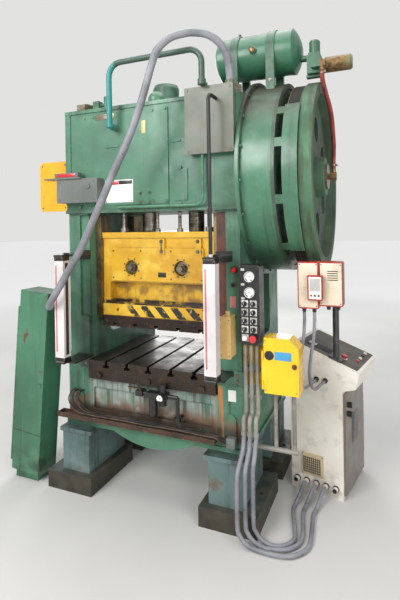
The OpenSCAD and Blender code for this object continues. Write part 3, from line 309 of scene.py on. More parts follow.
def bed_green():
    look = Look("bed_green")
    colour = aged(look, GREEN, GREEN_DEEP, GREEN_PALE, 0.7, 0.5, 0.6, 6.0)
    in_x, in_y, in_z = (look.band(at, *span) for at, span in zip((look.x, look.y, look.z), BED_RECESS))
    front = look.band(look.z, *BED_FRONT_Z, 0.02) * (1 - look.ease(look.y, -0.41, -0.38))
    centre = front * look.band(look.x, -BED_FRONT_HALF, BED_FRONT_HALF, 0.03)
    wash = look.cloud(0.34, 0.56, 1.2, 5, 0.6, (11, 11, 0.7))
    colour = look.mix(centre * wash * 0.85, colour, rgb(148, 152, 148))
    rinse = look.cloud(0.5, 0.66, 1.2, 5, 0.6, (17, 17, 0.9), 8)
    colour = look.mix(centre * rinse * 0.5, colour, rgb(176, 176, 168))
    soot = look.cloud(0.5, 0.66, 1.2, 5, 0.6, (19, 19, 0.8), 5)
    colour = look.mix(front * soot * 0.75, colour, OIL)
    edge = look.z + 0.07 * look.noise(9, 5)
    low_rust = front * (1 - look.ease(edge, 0.56, 0.64))
    colour = look.mix(low_rust * look.cloud(0.3, 0.55, 12, 5), colour, rgb(110, 84, 64))
    colour = look.mix(front * (1 - look.ease(edge, 0.525, 0.575)) * 0.8, colour, rgb(44, 34, 26))
    top = look.band(look.z, *BED_OILY_Z, 0.01) * centre * look.cloud(0.35, 0.6, 10, 4)
    colour = look.mix(top * 0.6, colour, OIL)
    streak = look.band(look.x + 0.02 * look.noise(12, 3), *BED_RUN_X, 0.006)
    streak = streak * look.cloud(0.38, 0.5, 1.0, 4, 0.6, (26, 26, 1.2))
    streak = streak * look.band(look.z, *BED_RUN_Z, 0.02) * (1 - look.ease(look.y, -0.43, -0.40))
    colour = look.mix(streak, colour, rgb(176, 112, 52))
    colour = look.mix(in_x * in_y * in_z * look.rims(0.02) * 0.5, colour, OIL)
    return look.done(colour, aged_rough(look, 0.35, 0.7), height=brushed(look), coat=0.05)


def foot_green():
    look = Look("foot_green")
    colour = aged(look, rgb(96, 120, 116), rgb(66, 86, 84), rgb(138, 148, 146), 1.0, 0.6, 0.5, 8.0)
    patch = look.cloud(0.56, 0.66, 5, 6, 0.6, shift=4)
    colour = look.mix(patch * 0.7, colour, rgb(112, 78, 50))
    groove = look.cloud(0.55, 0.68, 1.0, 4, 0.6, (20, 20, 0.6), 3)
    colour = look.mix(groove * 0.6, colour, OIL)
    base = 1 - look.ease(look.z, BASE_TOP - 0.003, BASE_TOP + 0.003)
    dark = look.mix(look.cloud(0.35, 0.7, 9, 6), rgb(46, 42, 36), rgb(74, 70, 56))
    colour = look.mix(base, colour, dark)
    return look.done(colour, aged_rough(look, 0.4, 0.75), height=brushed(look) + base * look.noise(30, 5))


def drum_green():
    look = Look("drum_green")
    colour = aged(look, rgb(72, 122, 94), rgb(50, 96, 72), rgb(110, 152, 124), 0.35, 0.35, 0.6, 2.0)
    # Oil and a painted reflection: the drum's top is painted brown, rougher and without coat.
    top = look.ease(look.z, *DRUM_OIL_AND_REFLECTION_Z) * look.cloud(0.24, 0.46, 2.2, 4, 0.6, (0.4, 3, 3))
    colour = look.mix(top * 0.85, colour, rgb(58, 48, 34))
    ring = look.cloud(0.5, 0.7, 1.6, 5, 0.6, (14, 0.8, 0.8), 3)
    colour = look.mix(ring * 0.5, colour, rgb(48, 58, 40))
    # Painted shade on the rim's end face, which faces away from the light, and a dark joint at the flange.
    end_shade_and_flange_joint = look.band(look.x, *DRUM_RIM_X) + look.band(look.x, *DRUM_FLANGE_X)
    colour = look.mix(end_shade_and_flange_joint * look.cloud(0.3, 0.55, 7, 4) * 0.7, colour, rgb(52, 48, 40))
    under = 1 - look.ease(look.z, *DRUM_UNDER_Z)
    colour = look.mix(under * look.cloud(0.3, 0.65, 3, 5) * 0.6, colour, OIL)
    return look.done(colour, aged_rough(look, 0.28, 0.5) + top * 0.25, height=look.noise(6, 3), depth=0.002,
                     coat=(1 - top) * 0.25)


def wheel_green():
    look = Look("wheel_green")
    colour = aged(look, rgb(84, 130, 98), rgb(60, 92, 66), rgb(112, 140, 112), 0.3, 0.5, 0.5, 5.0)
    across = look.y - WHEEL_Y
    upward = look.z - WHEEL_Z
    radius = (across * across + upward * upward) ** 0.5
    rim = look.ease(radius, WHEEL_R - 0.035, WHEEL_R - 0.02)
    olive = look.mix(look.cloud(0.35, 0.65, 5, 5), rgb(92, 96, 62), rgb(62, 58, 38))
    outside = look.ease(radius, WHEEL_R - 0.003, WHEEL_R - 0.001)
    colour = look.mix(rim * (1 - outside) * 0.85, colour, olive)
    smear = look.cloud(0.42, 0.62, 3, 5, 0.6, (6, 1, 1))
    colour = look.mix(outside * smear * 0.7, colour, rgb(58, 60, 40))
    # Painted shade inside the wheel's rim: the web's face is darkened.
    shaded_web = (1 - rim) * look.ease(look.x, *WEB_X) * look.ease(radius, *HUB_R)
    dark = look.mix(look.cloud(0.35, 0.65, 4, 5), rgb(40, 44, 34), rgb(58, 74, 56))
    colour = look.mix(shaded_web * 0.85, colour, dark)
    groove = look.band(look.x, *GROOVES_X, 0.0008) * rim
    colour = look.mix(groove, colour, rgb(92, 88, 78))
    return look.done(colour, aged_rough(look, 0.6, 0.85), groove * 0.7, brushed(look))


def tank_green():
    look = Look("tank_green")
    colour = aged(look, rgb(56, 110, 82), rgb(38, 82, 60), rgb(92, 138, 112), 0.35, 0.5, 0.6, 7.0)
    high = edges("tank")[1][2]
    dust = look.ease(look.z, high - 0.087, high + 0.003) * look.cloud(0.4, 0.6, 8, 5)
    colour = look.mix(dust * 0.5, colour, rgb(120, 112, 86))
    return look.done(colour, aged_rough(look, 0.3, 0.52), height=look.noise(9, 3), depth=0.0015, coat=0.2)


def valve_green():
    look = Look("valve_green")
    colour = aged(look, rgb(62, 108, 80), rgb(44, 78, 58), rgb(104, 144, 118), 0.4, 0.6, 0.6, 1.0, 0.004)
    silencer = look.ease(look.x, SILENCER_X - 0.001, SILENCER_X + 0.001)
    bronze = look.mix(look.cloud(0.4, 0.65, 60, 3), rgb(128, 100, 62), rgb(82, 66, 44))
    colour = look.mix(silencer, colour, bronze)
    cap = look.ease(look.x, SILENCER_CAP_X - 0.001, SILENCER_CAP_X + 0.001)
    colour = look.mix(cap, colour, rgb(112, 110, 74))
    pores = look.node("TexVoronoi", {}, {"Vector": look.place, "Scale": 320.0}, "Distance")
    return look.done(colour, aged_rough(look, 0.35, 0.6), silencer * 0.55,
                     look.noise(40, 4) + silencer * pores * 2, coat=0.1)


def cabinet_green():
    look = Look("cabinet_green")
    colour = aged(look, rgb(70, 124, 94), rgb(50, 98, 72), rgb(104, 152, 124), 0.5, 0.4, 0.6, 11.0)
    spot = look.cloud(0.68, 0.72, 9, 5, 0.5, shift=2)
    colour = look.mix(spot, colour, rgb(96, 68, 44))
    low = (1 - look.ease(look.z, 0.1, 0.3)) * look.cloud(0.35, 0.6, 8, 5)
    colour = look.mix(low * 0.6, colour, OIL)
    return look.done(colour, aged_rough(look, 0.28, 0.5), height=brushed(look), coat=0.2)


def slide_yellow():
    look = Look("slide_yellow")
    gold, deep, pale = rgb(228, 180, 40), rgb(196, 142, 24), rgb(246, 214, 96)
    colour = look.mix(look.cloud(0.36, 0.7, 2.4, 5), gold, deep)
    colour = look.mix(look.cloud(0.52, 0.75, 7, 5, shift=3) * 0.6, colour, pale)
    front = 1 - look.ease(look.y, -0.24, -0.2)
    run = look.cloud(0.55, 0.7, 1.0, 4, 0.6, (24, 24, 1.0))
    low = 1 - look.ease(look.z, 1.15, 1.36)
    colour = look.mix(run * low * 0.75, colour, rgb(92, 62, 24))
    for x, reach in ((-BORE_X, 0.075), (BORE_X, 0.095)):
        across, upward = look.x - x, look.z - BORE_Z
        off = (across * across + upward * upward) ** 0.5
        smear = (1 - look.ease(off + 0.05 * look.noise(20, 4), 0.05, reach)) * look.cloud(0.35, 0.6, 40, 4)
        colour = look.mix(smear * 0.8, colour, rgb(80, 56, 30))
    pocket = look.band(look.z, *POCKET_Z, 0.003) * look.band(abs(look.x), -1.0, POCKET_HALF)
    pocket = pocket * look.ease(look.y, SLIDE_FRONT + 0.014, SLIDE_FRONT + 0.024)
    colour = look.mix(pocket * look.cloud(0.4, 0.62, 13, 5) * 0.8, colour, rgb(120, 84, 36))
    ledge = look.band(look.z, *LEDGE_Z, 0.006) * look.ease(look.y, SLIDE_FRONT, SLIDE_FRONT + 0.004)
    colour = look.mix(ledge * look.cloud(0.3, 0.5, 16, 4), colour, GREASE)
    stripes = look.ease((look.x + look.z * 0.9) % STRIPE_PITCH, 0.05, 0.053)
    stripes = stripes * look.band(look.z, *STRIPES_Z, 0.001)
    stripes = stripes * (1 - look.ease(look.y, SLIDE_FRONT - 0.0005, SLIDE_FRONT))
    worn = look.cloud(0.34, 0.46, 26, 5, 0.6) * look.ease(look.x + 0.12 * look.noise(8, 3), -0.17, -0.1)
    colour = look.mix(stripes * worn, colour, rgb(24, 22, 20))
    chips = look.cloud(0.6, 0.7, 45, 4, 0.7) * (1 - look.ease(look.z, 1.07, 1.16))
    colour = look.mix(chips, colour, rgb(40, 30, 18))
    colour = look.mix(look.rims(0.006) * 0.55 * look.cloud(0.35, 0.6, 18, 4), colour, rgb(96, 66, 22))
    back = look.mix(look.cloud(0.3, 0.7, 5, 5), GREASE, rgb(86, 70, 40))
    colour = look.mix((1 - front) * 0.75, colour, back)
    colour = look.mix(look.facing_up() * 0.5 * look.cloud(0.35, 0.6, 9, 4), colour, GREASE)
    return look.done(colour, aged_rough(look, 0.26, 0.5), height=look.noise(30, 4) * 0.5, coat=0.3)


def oily_steel(name, a, b, c, shift=0.0, rough=(0.3, 0.65), metal=0.5):
    """Steel in three tones of oil and dirt, bare at its edges."""
    look = Look(name)
    colour = look.mix(look.cloud(0.3, 0.7, 6, 6, 0.65, shift=shift), a, b)
    colour = look.mix(look.cloud(0.56, 0.7, 24, 5, 0.6, shift=shift) * 0.7, colour, c)
    rim = look.rims(0.004)
    colour = look.mix(rim * look.cloud(0.4, 0.6, 30, 3) * 0.6, colour, BARE)
    return look.done(colour, aged_rough(look, *rough), metal, look.noise(48, 5, 0.6), coat=0.15)


def machined(name="machined", tint=rgb(150, 142, 124), streak=(1, 1, 18)):
    """Worked metal with tool marks, packed along an axis by streak, and brown oil."""
    look = Look(name)
    lay = look.noise(18, 4, 0.7, streak)
    colour = look.mix(look.ease(lay, 0.35, 0.65), tint, rgb(96, 88, 72))
    colour = look.mix(look.cloud(0.5, 0.7, 7, 5) * 0.75, colour, rgb(78, 58, 34))
    colour = look.mix(look.rims(0.003) * 0.5, colour, GREASE)
    return look.done(colour, 0.25 + 0.25 * lay, 0.75, lay, 0.0003)


def plain_paint(name, coat, deep, dirt=0.3, rough=(0.28, 0.45), edge=0.0035, clear=0.2):
    """Newer sheet-metal paint with fingermarks, rubbed edges and a fine orange-peel skin."""
    look = Look(name)
    colour = look.mix(look.cloud(0.35, 0.7, 4, 5), coat, deep)
    smudge = look.cloud(0.52, 0.72, 11, 5, 0.6, shift=5)
    colour = look.mix(smudge * dirt, colour, rgb(96, 84, 66))
    trail = look.cloud(0.58, 0.74, 1.2, 4, 0.6, (28, 28, 1.3))
    colour = look.mix(trail * dirt * 0.6, colour, OIL)
    if edge:
        rim = look.rims(edge) * look.cloud(0.4, 0.62, 42, 3)
        colour = look.mix(rim * 0.65, colour, rgb(90, 80, 66))
    peel = look.noise(260, 2)
    return look.done(colour, aged_rough(look, *rough), 0.0, peel, 0.00012, clear)


def ribbed_plastic(name, coat, deep):
    look = Look(name)
    colour = look.mix(look.cloud(0.35, 0.7, 8, 5), coat, deep)
    colour = look.mix(look.cloud(0.58, 0.7, 46, 4, 0.6) * 0.5, colour, rgb(70, 64, 54))
    return look.done(colour, aged_rough(look, 0.34, 0.55), 0.0, look.noise(150, 2), 0.0002)


def rubber(name, coat, deep):
    look = Look(name)
    colour = look.mix(look.cloud(0.35, 0.7, 22, 5), coat, deep)
    colour = look.mix(look.cloud(0.6, 0.72, 70, 3, 0.6) * 0.4, colour, rgb(110, 92, 74))
    return look.done(colour, aged_rough(look, 0.5, 0.8), 0.0, look.noise(190, 3), 0.0003)


def conduit_set():
    """Pale pipes on the right, green and dark ones on the crown, a teal elbow and the curtain's cable."""
    look = Look("pipes")
    colour = look.mix(look.cloud(0.35, 0.7, 8, 5), rgb(154, 150, 140), rgb(116, 112, 102))
    green_from, dark_from, dark_front, teal_until, soft = 1.74, 2.2, -0.512, -0.15, 0.005
    cable_x, cable_front, cable_foot, cable_top = (0.462, 0.502), -0.5, 1.47, 2.38
    high = look.ease(look.z, green_from, green_from + soft)
    green = look.mix(look.cloud(0.35, 0.7, 9, 5), GREEN, GREEN_DEEP)
    colour = look.mix(high, colour, green)
    over = look.ease(look.z, dark_from, dark_from + soft)
    over = over * (1 - look.ease(look.y, dark_front, dark_front + 0.004))
    colour = look.mix(over, colour, rgb(62, 84, 72))
    elbow = over * (1 - look.ease(look.x, teal_until, teal_until + soft))
    colour = look.mix(elbow, colour, rgb(40, 132, 128))
    cable = look.band(look.x, *cable_x) * look.ease(look.z, cable_foot, cable_foot + soft)
    cable = cable * (1 - look.ease(look.y, cable_front, cable_front + soft))
    cable = cable * (1 - look.ease(look.z, cable_top, cable_top + 0.02))
    colour = look.mix(cable, colour, rgb(26, 26, 28))
    colour = look.mix(look.cloud(0.58, 0.7, 40, 4, 0.6) * 0.4, colour, rgb(70, 62, 50))
    return look.done(colour, aged_rough(look, 0.34, 0.55), 0.0, look.noise(150, 2), 0.0002)


def console_set():
    """White enamel with the desk's grey top and the cream frame of the fan filter."""
    look = Look("console_paint")
    colour = look.mix(look.cloud(0.35, 0.7, 4, 5), rgb(246, 240, 230), rgb(234, 226, 212))
    smudge = look.cloud(0.52, 0.72, 11, 5, 0.6, shift=5)
    colour = look.mix(smudge * 0.25, colour, rgb(96, 84, 66))
    east, north = look.x - CONSOLE_AT[0], look.y - CONSOLE_AT[1]
    across = east * math.cos(CONSOLE_TURN) - north * math.sin(CONSOLE_TURN)
    deep = east * math.sin(CONSOLE_TURN) + north * math.cos(CONSOLE_TURN)
    top = edges("console")[1][2]
    off = (across - 0.025) * math.sin(DESK_SLOPE) + (look.z - top) * math.cos(DESK_SLOPE)
    desk = look.band(off, -0.0015, 0.0015, 0.0005)
    desk = desk * look.band(across, *DESK_X, 0.0008) * look.band(deep, *DESK_Y, 0.0008)
    grey = look.mix(look.cloud(0.35, 0.7, 7, 5), rgb(96, 92, 84), rgb(76, 72, 66))
    colour = look.mix(desk, colour, grey)
    filter_frame = (1 - look.ease(deep, -0.0008, 0.0)) * look.band(look.z, *FILTER_Z)
    colour = look.mix(filter_frame, colour, rgb(214, 196, 160))
    rim = look.rims(0.0035) * look.cloud(0.4, 0.62, 42, 3)
    colour = look.mix(rim * 0.65, colour, rgb(90, 80, 66))
    low = (1 - look.ease(look.z, 0.02, 0.22)) * look.cloud(0.35, 0.6, 9, 5)
    colour = look.mix(low * 0.5, colour, rgb(92, 78, 60))
    rough = aged_rough(look, 0.3, 0.48) + desk * 0.3
    return look.done(colour, rough, height=look.noise(260, 2), depth=0.00012)


def monitor_set():
    """Red enamel boxes on a dark post."""
    look = Look("monitor_paint")
    colour = look.mix(look.cloud(0.35, 0.7, 4, 5), rgb(190, 46, 42), rgb(150, 34, 32))
    colour = look.mix(look.cloud(0.52, 0.7, 14, 5, 0.6, shift=5) * 0.4, colour, rgb(96, 62, 50))
    boxes_foot, boxes_back = 1.18, -0.214
    post = 1 - look.ease(look.z, boxes_foot, boxes_foot + 0.004)
    post = post + look.ease(look.y, boxes_back, boxes_back + 0.001)
    dark = look.mix(look.cloud(0.35, 0.65, 12, 4), rgb(70, 72, 70), rgb(46, 46, 44))
    colour = look.mix(post, colour, dark)
    rim = look.rims(0.003) * look.cloud(0.4, 0.62, 42, 3)
    colour = look.mix(rim * 0.5, colour, rgb(120, 96, 80))
    return look.done(colour, aged_rough(look, 0.3, 0.48), height=look.noise(260, 2), depth=0.00012, coat=0.2)


# Every finish by its short name. A paint has its colour, the deeper colour of its patches, its share of
# dirt, and its roughness where it is shiny and where it is dull.
LOOKS = {
    "monitor_set": monitor_set(),
    "pipes": conduit_set(),
    "console_set": console_set(),
    "crown": crown_green(),
    "upright": upright_green(),
    "bed": bed_green(),
    "foot": foot_green(),
    "drum": drum_green(),
    "wheel": wheel_green(),
    "tank": tank_green(),
    "valve": valve_green(),
    "cabinet": cabinet_green(),
    "slide": slide_yellow(),
    "plate": oily_steel("slide_plate_steel", rgb(52, 34, 24), rgb(30, 22, 18), rgb(96, 60, 34)),
    "bolster": oily_steel("bolster_steel", rgb(58, 46, 36), rgb(34, 27, 22), rgb(92, 66, 44), 3.0,
                          (0.26, 0.6)),
    "sheave": oily_steel("sheave_steel", rgb(70, 68, 60), rgb(40, 38, 34), rgb(104, 90, 66)),
    "trough": oily_steel("trough_steel", rgb(86, 60, 42), rgb(46, 34, 26), rgb(128, 92, 62), 5.0,
                         (0.5, 0.8), 0.2),
    "machined": machined(),
    "gib": machined("gib_steel", rgb(150, 128, 88), (1, 1, 0.4)),
    "rod": machined("bright_rod", rgb(206, 198, 184), (1, 1, 9)),
    "brass": machined("dull_brass", rgb(176, 136, 74), (1, 1, 1)),
    "belt": rubber("belt_rubber", rgb(30, 29, 28), rgb(18, 18, 18)),
    "red_hose": rubber("red_hose_rubber", rgb(150, 58, 46), rgb(112, 44, 38)),
    "black_hose": rubber("black_hose_rubber", rgb(34, 34, 36), rgb(22, 22, 24)),
    "conduit": ribbed_plastic("conduit_grey", rgb(142, 142, 148), rgb(112, 112, 118)),
    "grey_panel": plain_paint("grey_enamel", rgb(98, 102, 86), rgb(84, 88, 74), 0.35, (0.42, 0.6)),
    "grey_box": plain_paint("grey_box_enamel", rgb(112, 116, 112), rgb(92, 98, 94), 0.4, (0.35, 0.55)),
    "yellow_box": plain_paint("box_yellow", rgb(238, 178, 34), rgb(224, 158, 26), 0.35, (0.25, 0.42)),
    "operator": plain_paint("operator_yellow", rgb(250, 204, 18), rgb(244, 190, 12), 0.16, (0.18, 0.32),
                            clear=0.4),
    "curtain": plain_paint("curtain_white", rgb(228, 222, 222), rgb(206, 200, 200), 0.18, (0.3, 0.45)),
    "black": plain_paint("satin_black", rgb(26, 26, 26), rgb(18, 18, 18), 0.12, (0.3, 0.5)),
    "cream": plain_paint("box_cream", rgb(232, 196, 130), rgb(214, 176, 110), 0.2, (0.3, 0.5)),
    "gauge": plain_paint("dial_white", rgb(238, 238, 234), rgb(226, 226, 222), 0.05, (0.12, 0.2), 0,
                         clear=0.6),
    "white": plain_paint("button_white", rgb(236, 234, 228), rgb(224, 222, 214), 0.1, (0.2, 0.3), 0,
                         clear=0.5),
    "red": plain_paint("stop_red", rgb(206, 34, 40), rgb(182, 26, 32), 0.08, (0.18, 0.28), 0, clear=0.5),
    "knob": plain_paint("knob_black", rgb(30, 30, 32), rgb(20, 20, 22), 0.1, (0.25, 0.4), 0),
    "door": plain_paint("door_grey", rgb(124, 114, 104), rgb(108, 100, 90), 0.25, (0.32, 0.5)),
    "pink": plain_paint("faded_pink", rgb(206, 120, 116), rgb(186, 100, 98), 0.2, (0.3, 0.45), 0),
    "blue": plain_paint("plate_blue", rgb(84, 170, 216), rgb(66, 148, 196), 0.2, (0.3, 0.45), 0),
    "legend": plain_paint("legend_grey", rgb(198, 196, 190), rgb(176, 174, 168), 0.15, (0.3, 0.45), 0),
    "trough_cable": rubber("brown_cable", rgb(96, 76, 62), rgb(60, 48, 40)),
    "matt": plain_paint("matt_black", rgb(22, 22, 24), rgb(16, 16, 18), 0.12, (0.6, 0.75), 0, clear=0.0),
    "mesh": plain_paint("filter_mesh", rgb(64, 48, 36), rgb(40, 32, 26), 0.4, (0.6, 0.8), 0, clear=0.0),
    "monitor_cream": plain_paint("monitor_cream", rgb(232, 218, 196), rgb(214, 198, 172), 0.25, (0.3, 0.45)),
}

# The finish of each solid.
NODE_LOOK = {
    "feet": "foot", "bed": "bed", "upright_left": "upright", "upright_right": "upright", "crown": "crown",
    "tie_rods": "machined", "gibs": "gib", "slide": "slide", "slide_plate": "plate", "plungers": "rod",
    "adjuster_left": "machined", "adjuster_right": "machined", "bolster": "bolster", "drum_housing": "drum",
    "flywheel": "wheel", "drive_shaft": "machined", "rotary_union": "brass", "motor": "cabinet",
    "motor_sheave": "sheave", "v_belts": "belt", "tank": "tank", "tank_straps": "valve",
    "clutch_valve": "valve", "grey_panel": "grey_panel", "yellow_box": "yellow_box", "grey_box": "grey_box",
    "curtains": "curtain", "curtain_brackets": "black", "cream_box": "cream", "panel": "black",
    "panel_gauges": "gauge", "white_button": "white", "stop_button": "red", "operator_box": "operator",
    "operator_door": "operator", "key_switch": "brass", "air_filter": "black", "air_valve_lever": "brass",
    "regulator_knob": "knob", "drip_trough": "trough", "conduits": "pipes", "tall_cabinet": "cabinet",
    "tall_door": "cabinet", "console": "console_set", "console_door": "door", "latch_upper": "knob",
    "latch_lower": "knob", "console_switch": "red", "monitor_boxes": "monitor_set",
    "thick_conduit": "conduit", "console_leads": "conduit", "red_hose": "red_hose",
    **{node_name: "knob" for node_name in SELECTORS}}
for node_name, look_name in NODE_LOOK.items():
    solid = nodes[node_name]
    solid.data.materials.clear()
    solid.data.materials.append(LOOKS[look_name])


# Shapes

def place(at=(0, 0, 0), z=(0, 0, 1), x=(1, 0, 0)):
    """A frame at a point, with its z along one direction and its x as near as may be to another."""
    up = Vector(z).normalized()
    side = Vector(x)
    side = (side - side.dot(up) * up).normalized()
    return Matrix.Translation(at) @ Matrix((side, up.cross(side), up)).transposed().to_4x4()


def skin(rows, sides, close=True):
    """The faces between rows of points that go round, and the two end faces."""
    rings = []
    for start in range(0, (rows - 1) * sides, sides):
        for k in range(sides):
            a, b = start + k, start + (k + 1) % sides
            rings.append((a, b, b + sides, a + sides))
    if close:
        last = (rows - 1) * sides
        rings += [tuple(range(sides))[::-1], tuple(range(last, last + sides))]
    return rings


class Piece:
    """Mesh parts collected into one object that rides on a body."""

    def __init__(self, name, body="frame", slot=None):
        self.name = name
        self.body = body
        self.slot = slot
        self.bm = bmesh.new()
        self.looks = []

    def index(self, look):
        if look not in self.looks:
            self.looks.append(look)
        return self.looks.index(look)

    def faces(self, points, rings, look, spot=Matrix()):
        """Faces in one look, each a ring of the points' numbers."""
        verts = [self.bm.verts.new(spot @ Vector(p)) for p in points]
        made = [self.bm.faces.new([verts[i] for i in ring]) for ring in rings]
        for face in made:
            face.material_index = self.index(look)
        return made

    def round_off(self, which, radius, look):
        """Rounds the given edges."""
        out = bmesh.ops.bevel(self.bm, geom=which, offset=radius, segments=2, profile=0.5, affect="EDGES",
                              clamp_overlap=True)
        for face in out["faces"]:
            face.material_index = self.index(look)

    def block(self, low, high, look, round=0.001, spot=Matrix()):
        """A box with its edges rounded."""
        points = [(x, y, z) for z in (low[2], high[2]) for y in (low[1], high[1]) for x in (low[0], high[0])]
        rings = [(0, 2, 3, 1), (4, 5, 7, 6), (0, 1, 5, 4), (2, 6, 7, 3), (0, 4, 6, 2), (1, 3, 7, 5)]
        made = self.faces(points, rings, look, spot)
        if round:
            self.round_off(list({e for f in made for e in f.edges}), round, look)

    def sheet_cut(self, outline, depth, look, spot=Matrix()):
        """An outline in the frame's x and y, made solid from 0 to depth along its z."""
        n = len(outline)
        points = [(x, y, 0) for x, y in outline] + [(x, y, depth) for x, y in outline]
        rings = [tuple(range(n))[::-1], tuple(range(n, 2 * n))]
        rings += [(i, (i + 1) % n, n + (i + 1) % n, n + i) for i in range(n)]
        self.faces(points, rings, look, spot)

    def turned(self, profile, look, spot=Matrix(), sides=28, close=True):
        """A profile of (radius, height) points turned round the frame's z."""
        points = []
        for radius, height in profile:
            for k in range(sides):
                a = 2 * math.pi * k / sides
                points.append((radius * math.cos(a), radius * math.sin(a), height))
        self.faces(points, skin(len(profile), sides, close), look, spot)

    def screw(self, spot, radius, look, sides=6):
        """A bolt head with a chamfered top, on a thin washer."""
        self.turned([(radius * 1.35, 0), (radius * 1.35, radius * 0.16), (radius * 1.28, radius * 0.22)],
                    look, spot, 18)
        self.turned([(radius, radius * 0.2), (radius, radius * 0.72), (radius * 0.84, radius * 0.86)],
                    look, spot, sides)

    def pan(self, spot, radius, look):
        """A domed screw head with a dimple."""
        self.turned([(radius, 0), (radius * 0.96, radius * 0.3), (radius * 0.66, radius * 0.55),
                     (radius * 0.3, radius * 0.6), (radius * 0.2, radius * 0.36)], look, spot, 14)

    def tube(self, path, radius, look, sides=12, swell=None):
        """A tube along a path. swell gives the radius's factor at each point."""
        n = len(path)
        points = []
        aim = (path[1] - path[0]).normalized()
        side = aim.orthogonal().normalized()
        for i, p in enumerate(path):
            ahead = (path[min(i + 1, n - 1)] - path[max(i - 1, 0)]).normalized()
            side = (side - side.dot(ahead) * ahead).normalized()
            up = ahead.cross(side)
            r = radius * (swell[i] if swell else 1.0)
            for k in range(sides):
                a = 2 * math.pi * k / sides
                points.append(p + r * (math.cos(a) * side + math.sin(a) * up))
        self.faces(points, skin(n, sides), look)

    def done(self, smooth=38):
        """Closes the object. Edges sharper than smooth, in degrees, stay sharp."""
        bmesh.ops.recalc_face_normals(self.bm, faces=self.bm.faces)
        mesh = bpy.data.meshes.new(self.name)
        for face in self.bm.faces:
            face.smooth = True
        self.bm.to_mesh(mesh)
        self.bm.free()
        for look in self.looks:
            mesh.materials.append(LOOKS[look])
        mesh.set_sharp_from_angle(angle=math.radians(smooth))
        made = bpy.data.objects.new(self.name, mesh)
        scene.collection.objects.link(made)
        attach(made, self.body)
        return made


def flowing(points, gap=0.006):
    """A smooth line through the points, with a point about every gap."""
    knots = [Vector(p) for p in points]
    knots = [2 * knots[0] - knots[1], *knots, 2 * knots[-1] - knots[-2]]
    line = []
    for i in range(1, len(knots) - 2):
        a, b, c, d = knots[i - 1:i + 3]
        steps = max(2, int((c - b).length / gap))
        for k in range(steps):
            t = k / steps
            line.append(0.5 * ((2 * b) + (c - a) * t + (2 * a - 5 * b + 4 * c - d) * t ** 2
                               + (3 * b - a - 3 * c + d) * t ** 3))
    line.append(knots[-2])
    return line


def reach(line):
    """A line's length."""
    return sum((b - a).length for a, b in zip(line, line[1:]))


def ribbed(line, depth):
    """Radius factors that make ribs: every second point is drawn in by a share."""
    return [1.0 - depth * (k % 2) for k in range(len(line))]


# Cords. Their routes are chosen, in millimetres, as the solids have them.

CONDUIT_ROUTE = (
    (-636.8, -537.2, 1163.5), (-601, -599, 1160), (-557, -659, 1172), (-505, -700, 1210), (-456, -712, 1267),
    (-314, -704, 1476), (-261, -701, 1563), (-160, -698, 1753), (-59, -695, 1944), (42, -691, 2134),
    (111, -683, 2302), (185, -664, 2545), (220, -656, 2609), (278, -643, 2653), (348, -628, 2668),
    (405, -616, 2668), (479, -590, 2652), (532, -552, 2607), (554, -509, 2543), (556, -482, 2460),
    (556, -482, 2435.1))
HOSE_ROUTE = (
    (995, -121, 2535.9), (995, -121, 2516), (996, -117, 2487), (1000, -107, 2460), (1013, -72, 2396),
    (1027, -37, 2330), (1033, -4, 2268), (1034, 29, 2201), (1034, 63, 2135), (1032, 77, 2105),
    (1030, 88, 2084), (1028, 97, 2059), (1027, 100, 2033), (1027, 100, 1985.1))
LEAD_ROUTES = (
    ((606, -490, 519.9), (606, -490, 506), (606, -508, 449), (606, -555, 412), (606, -602, 376),
     (606, -620, 319), (606, -620, 111), (619, -620, 62), (654, -620, 27), (703, -620, 14), (796, -620, 14),
     (875, -598, 14), (930, -537, 14), (945, -456, 14), (927, -258, 14), (930, -208, 14), (933, -193, 14),
     (945, -130, 38), (957.7, -65.0, 64), (962.2, -41.5, 64)),
    ((640, -490, 519.9), (640, -490, 506), (640, -503, 456), (640, -540, 419), (640, -577, 383),
     (640, -590, 333), (640, -590, 111), (653, -590, 62), (688, -590, 27), (737, -590, 14), (761, -590, 14),
     (837, -567, 14), (889, -507, 14), (899, -428, 14), (871, -253, 14), (872, -190, 14), (886, -119, 38),
     (898.8, -53.5, 64), (903.3, -30.1, 64)),
    ((674, -490, 519.9), (674, -490, 506), (674, -525, 430), (674, -560, 354), (674, -560, 111),
     (687, -560, 62), (722, -560, 27), (771, -560, 14), (822, -543, 14), (858, -498, 14), (862, -441, 14),
     (816, -248, 14), (815, -172, 14), (827, -108, 38), (839.9, -42.1, 64), (844.4, -18.6, 64)))


def metres(route):
    return [tuple(c / 1000 for c in p) for p in route]


def thick_conduit():
    line = flowing(metres(CONDUIT_ROUTE), 0.004)
    piece = Piece("ribbed_conduit", slot="conduit_grey")
    piece.tube(line, 0.021, "conduit", 24, ribbed(line, 0.014))
    conduit = piece.done(80)
    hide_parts("thick_conduit")
    reach(line)


def red_hose():
    """The air hose, with a clamp near each end."""
    line = flowing(metres(HOSE_ROUTE), 0.004)
    piece = Piece("air_hose", slot="red_rubber")
    piece.tube(line, 0.013, "red_hose", 20)
    hose = piece.done(80)
    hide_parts("red_hose")
    reach(line)

    piece = Piece("hose_clamps", slot="brass_fittings")
    inner, outer, half = 0.0134, 0.0152, 0.006
    for i in (3, len(line) - 6):
        spot = place(line[i], line[i + 1] - line[i])
        piece.turned([(inner, -half), (outer, -half), (outer, half), (inner, half)], "machined", spot, 24)
        piece.block((0.014, -half, -half), (0.023, half, half), "machined", 0.001, spot)
        piece.screw(spot @ place((0.0185, half, 0), (0, 1, 0)), 0.0035, "machined")
    piece.done()


def console_leads():
    for k, route in enumerate(LEAD_ROUTES, 1):
        line = flowing(metres(route), 0.005)
        piece = Piece(f"console_lead_{k}", slot="conduit_grey")
        piece.tube(line, 0.012, "conduit", 14, ribbed(line, 0.02))
        lead = piece.done(80)
        if k == 1:
            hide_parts("console_leads")
        reach(line)


# Small pieces

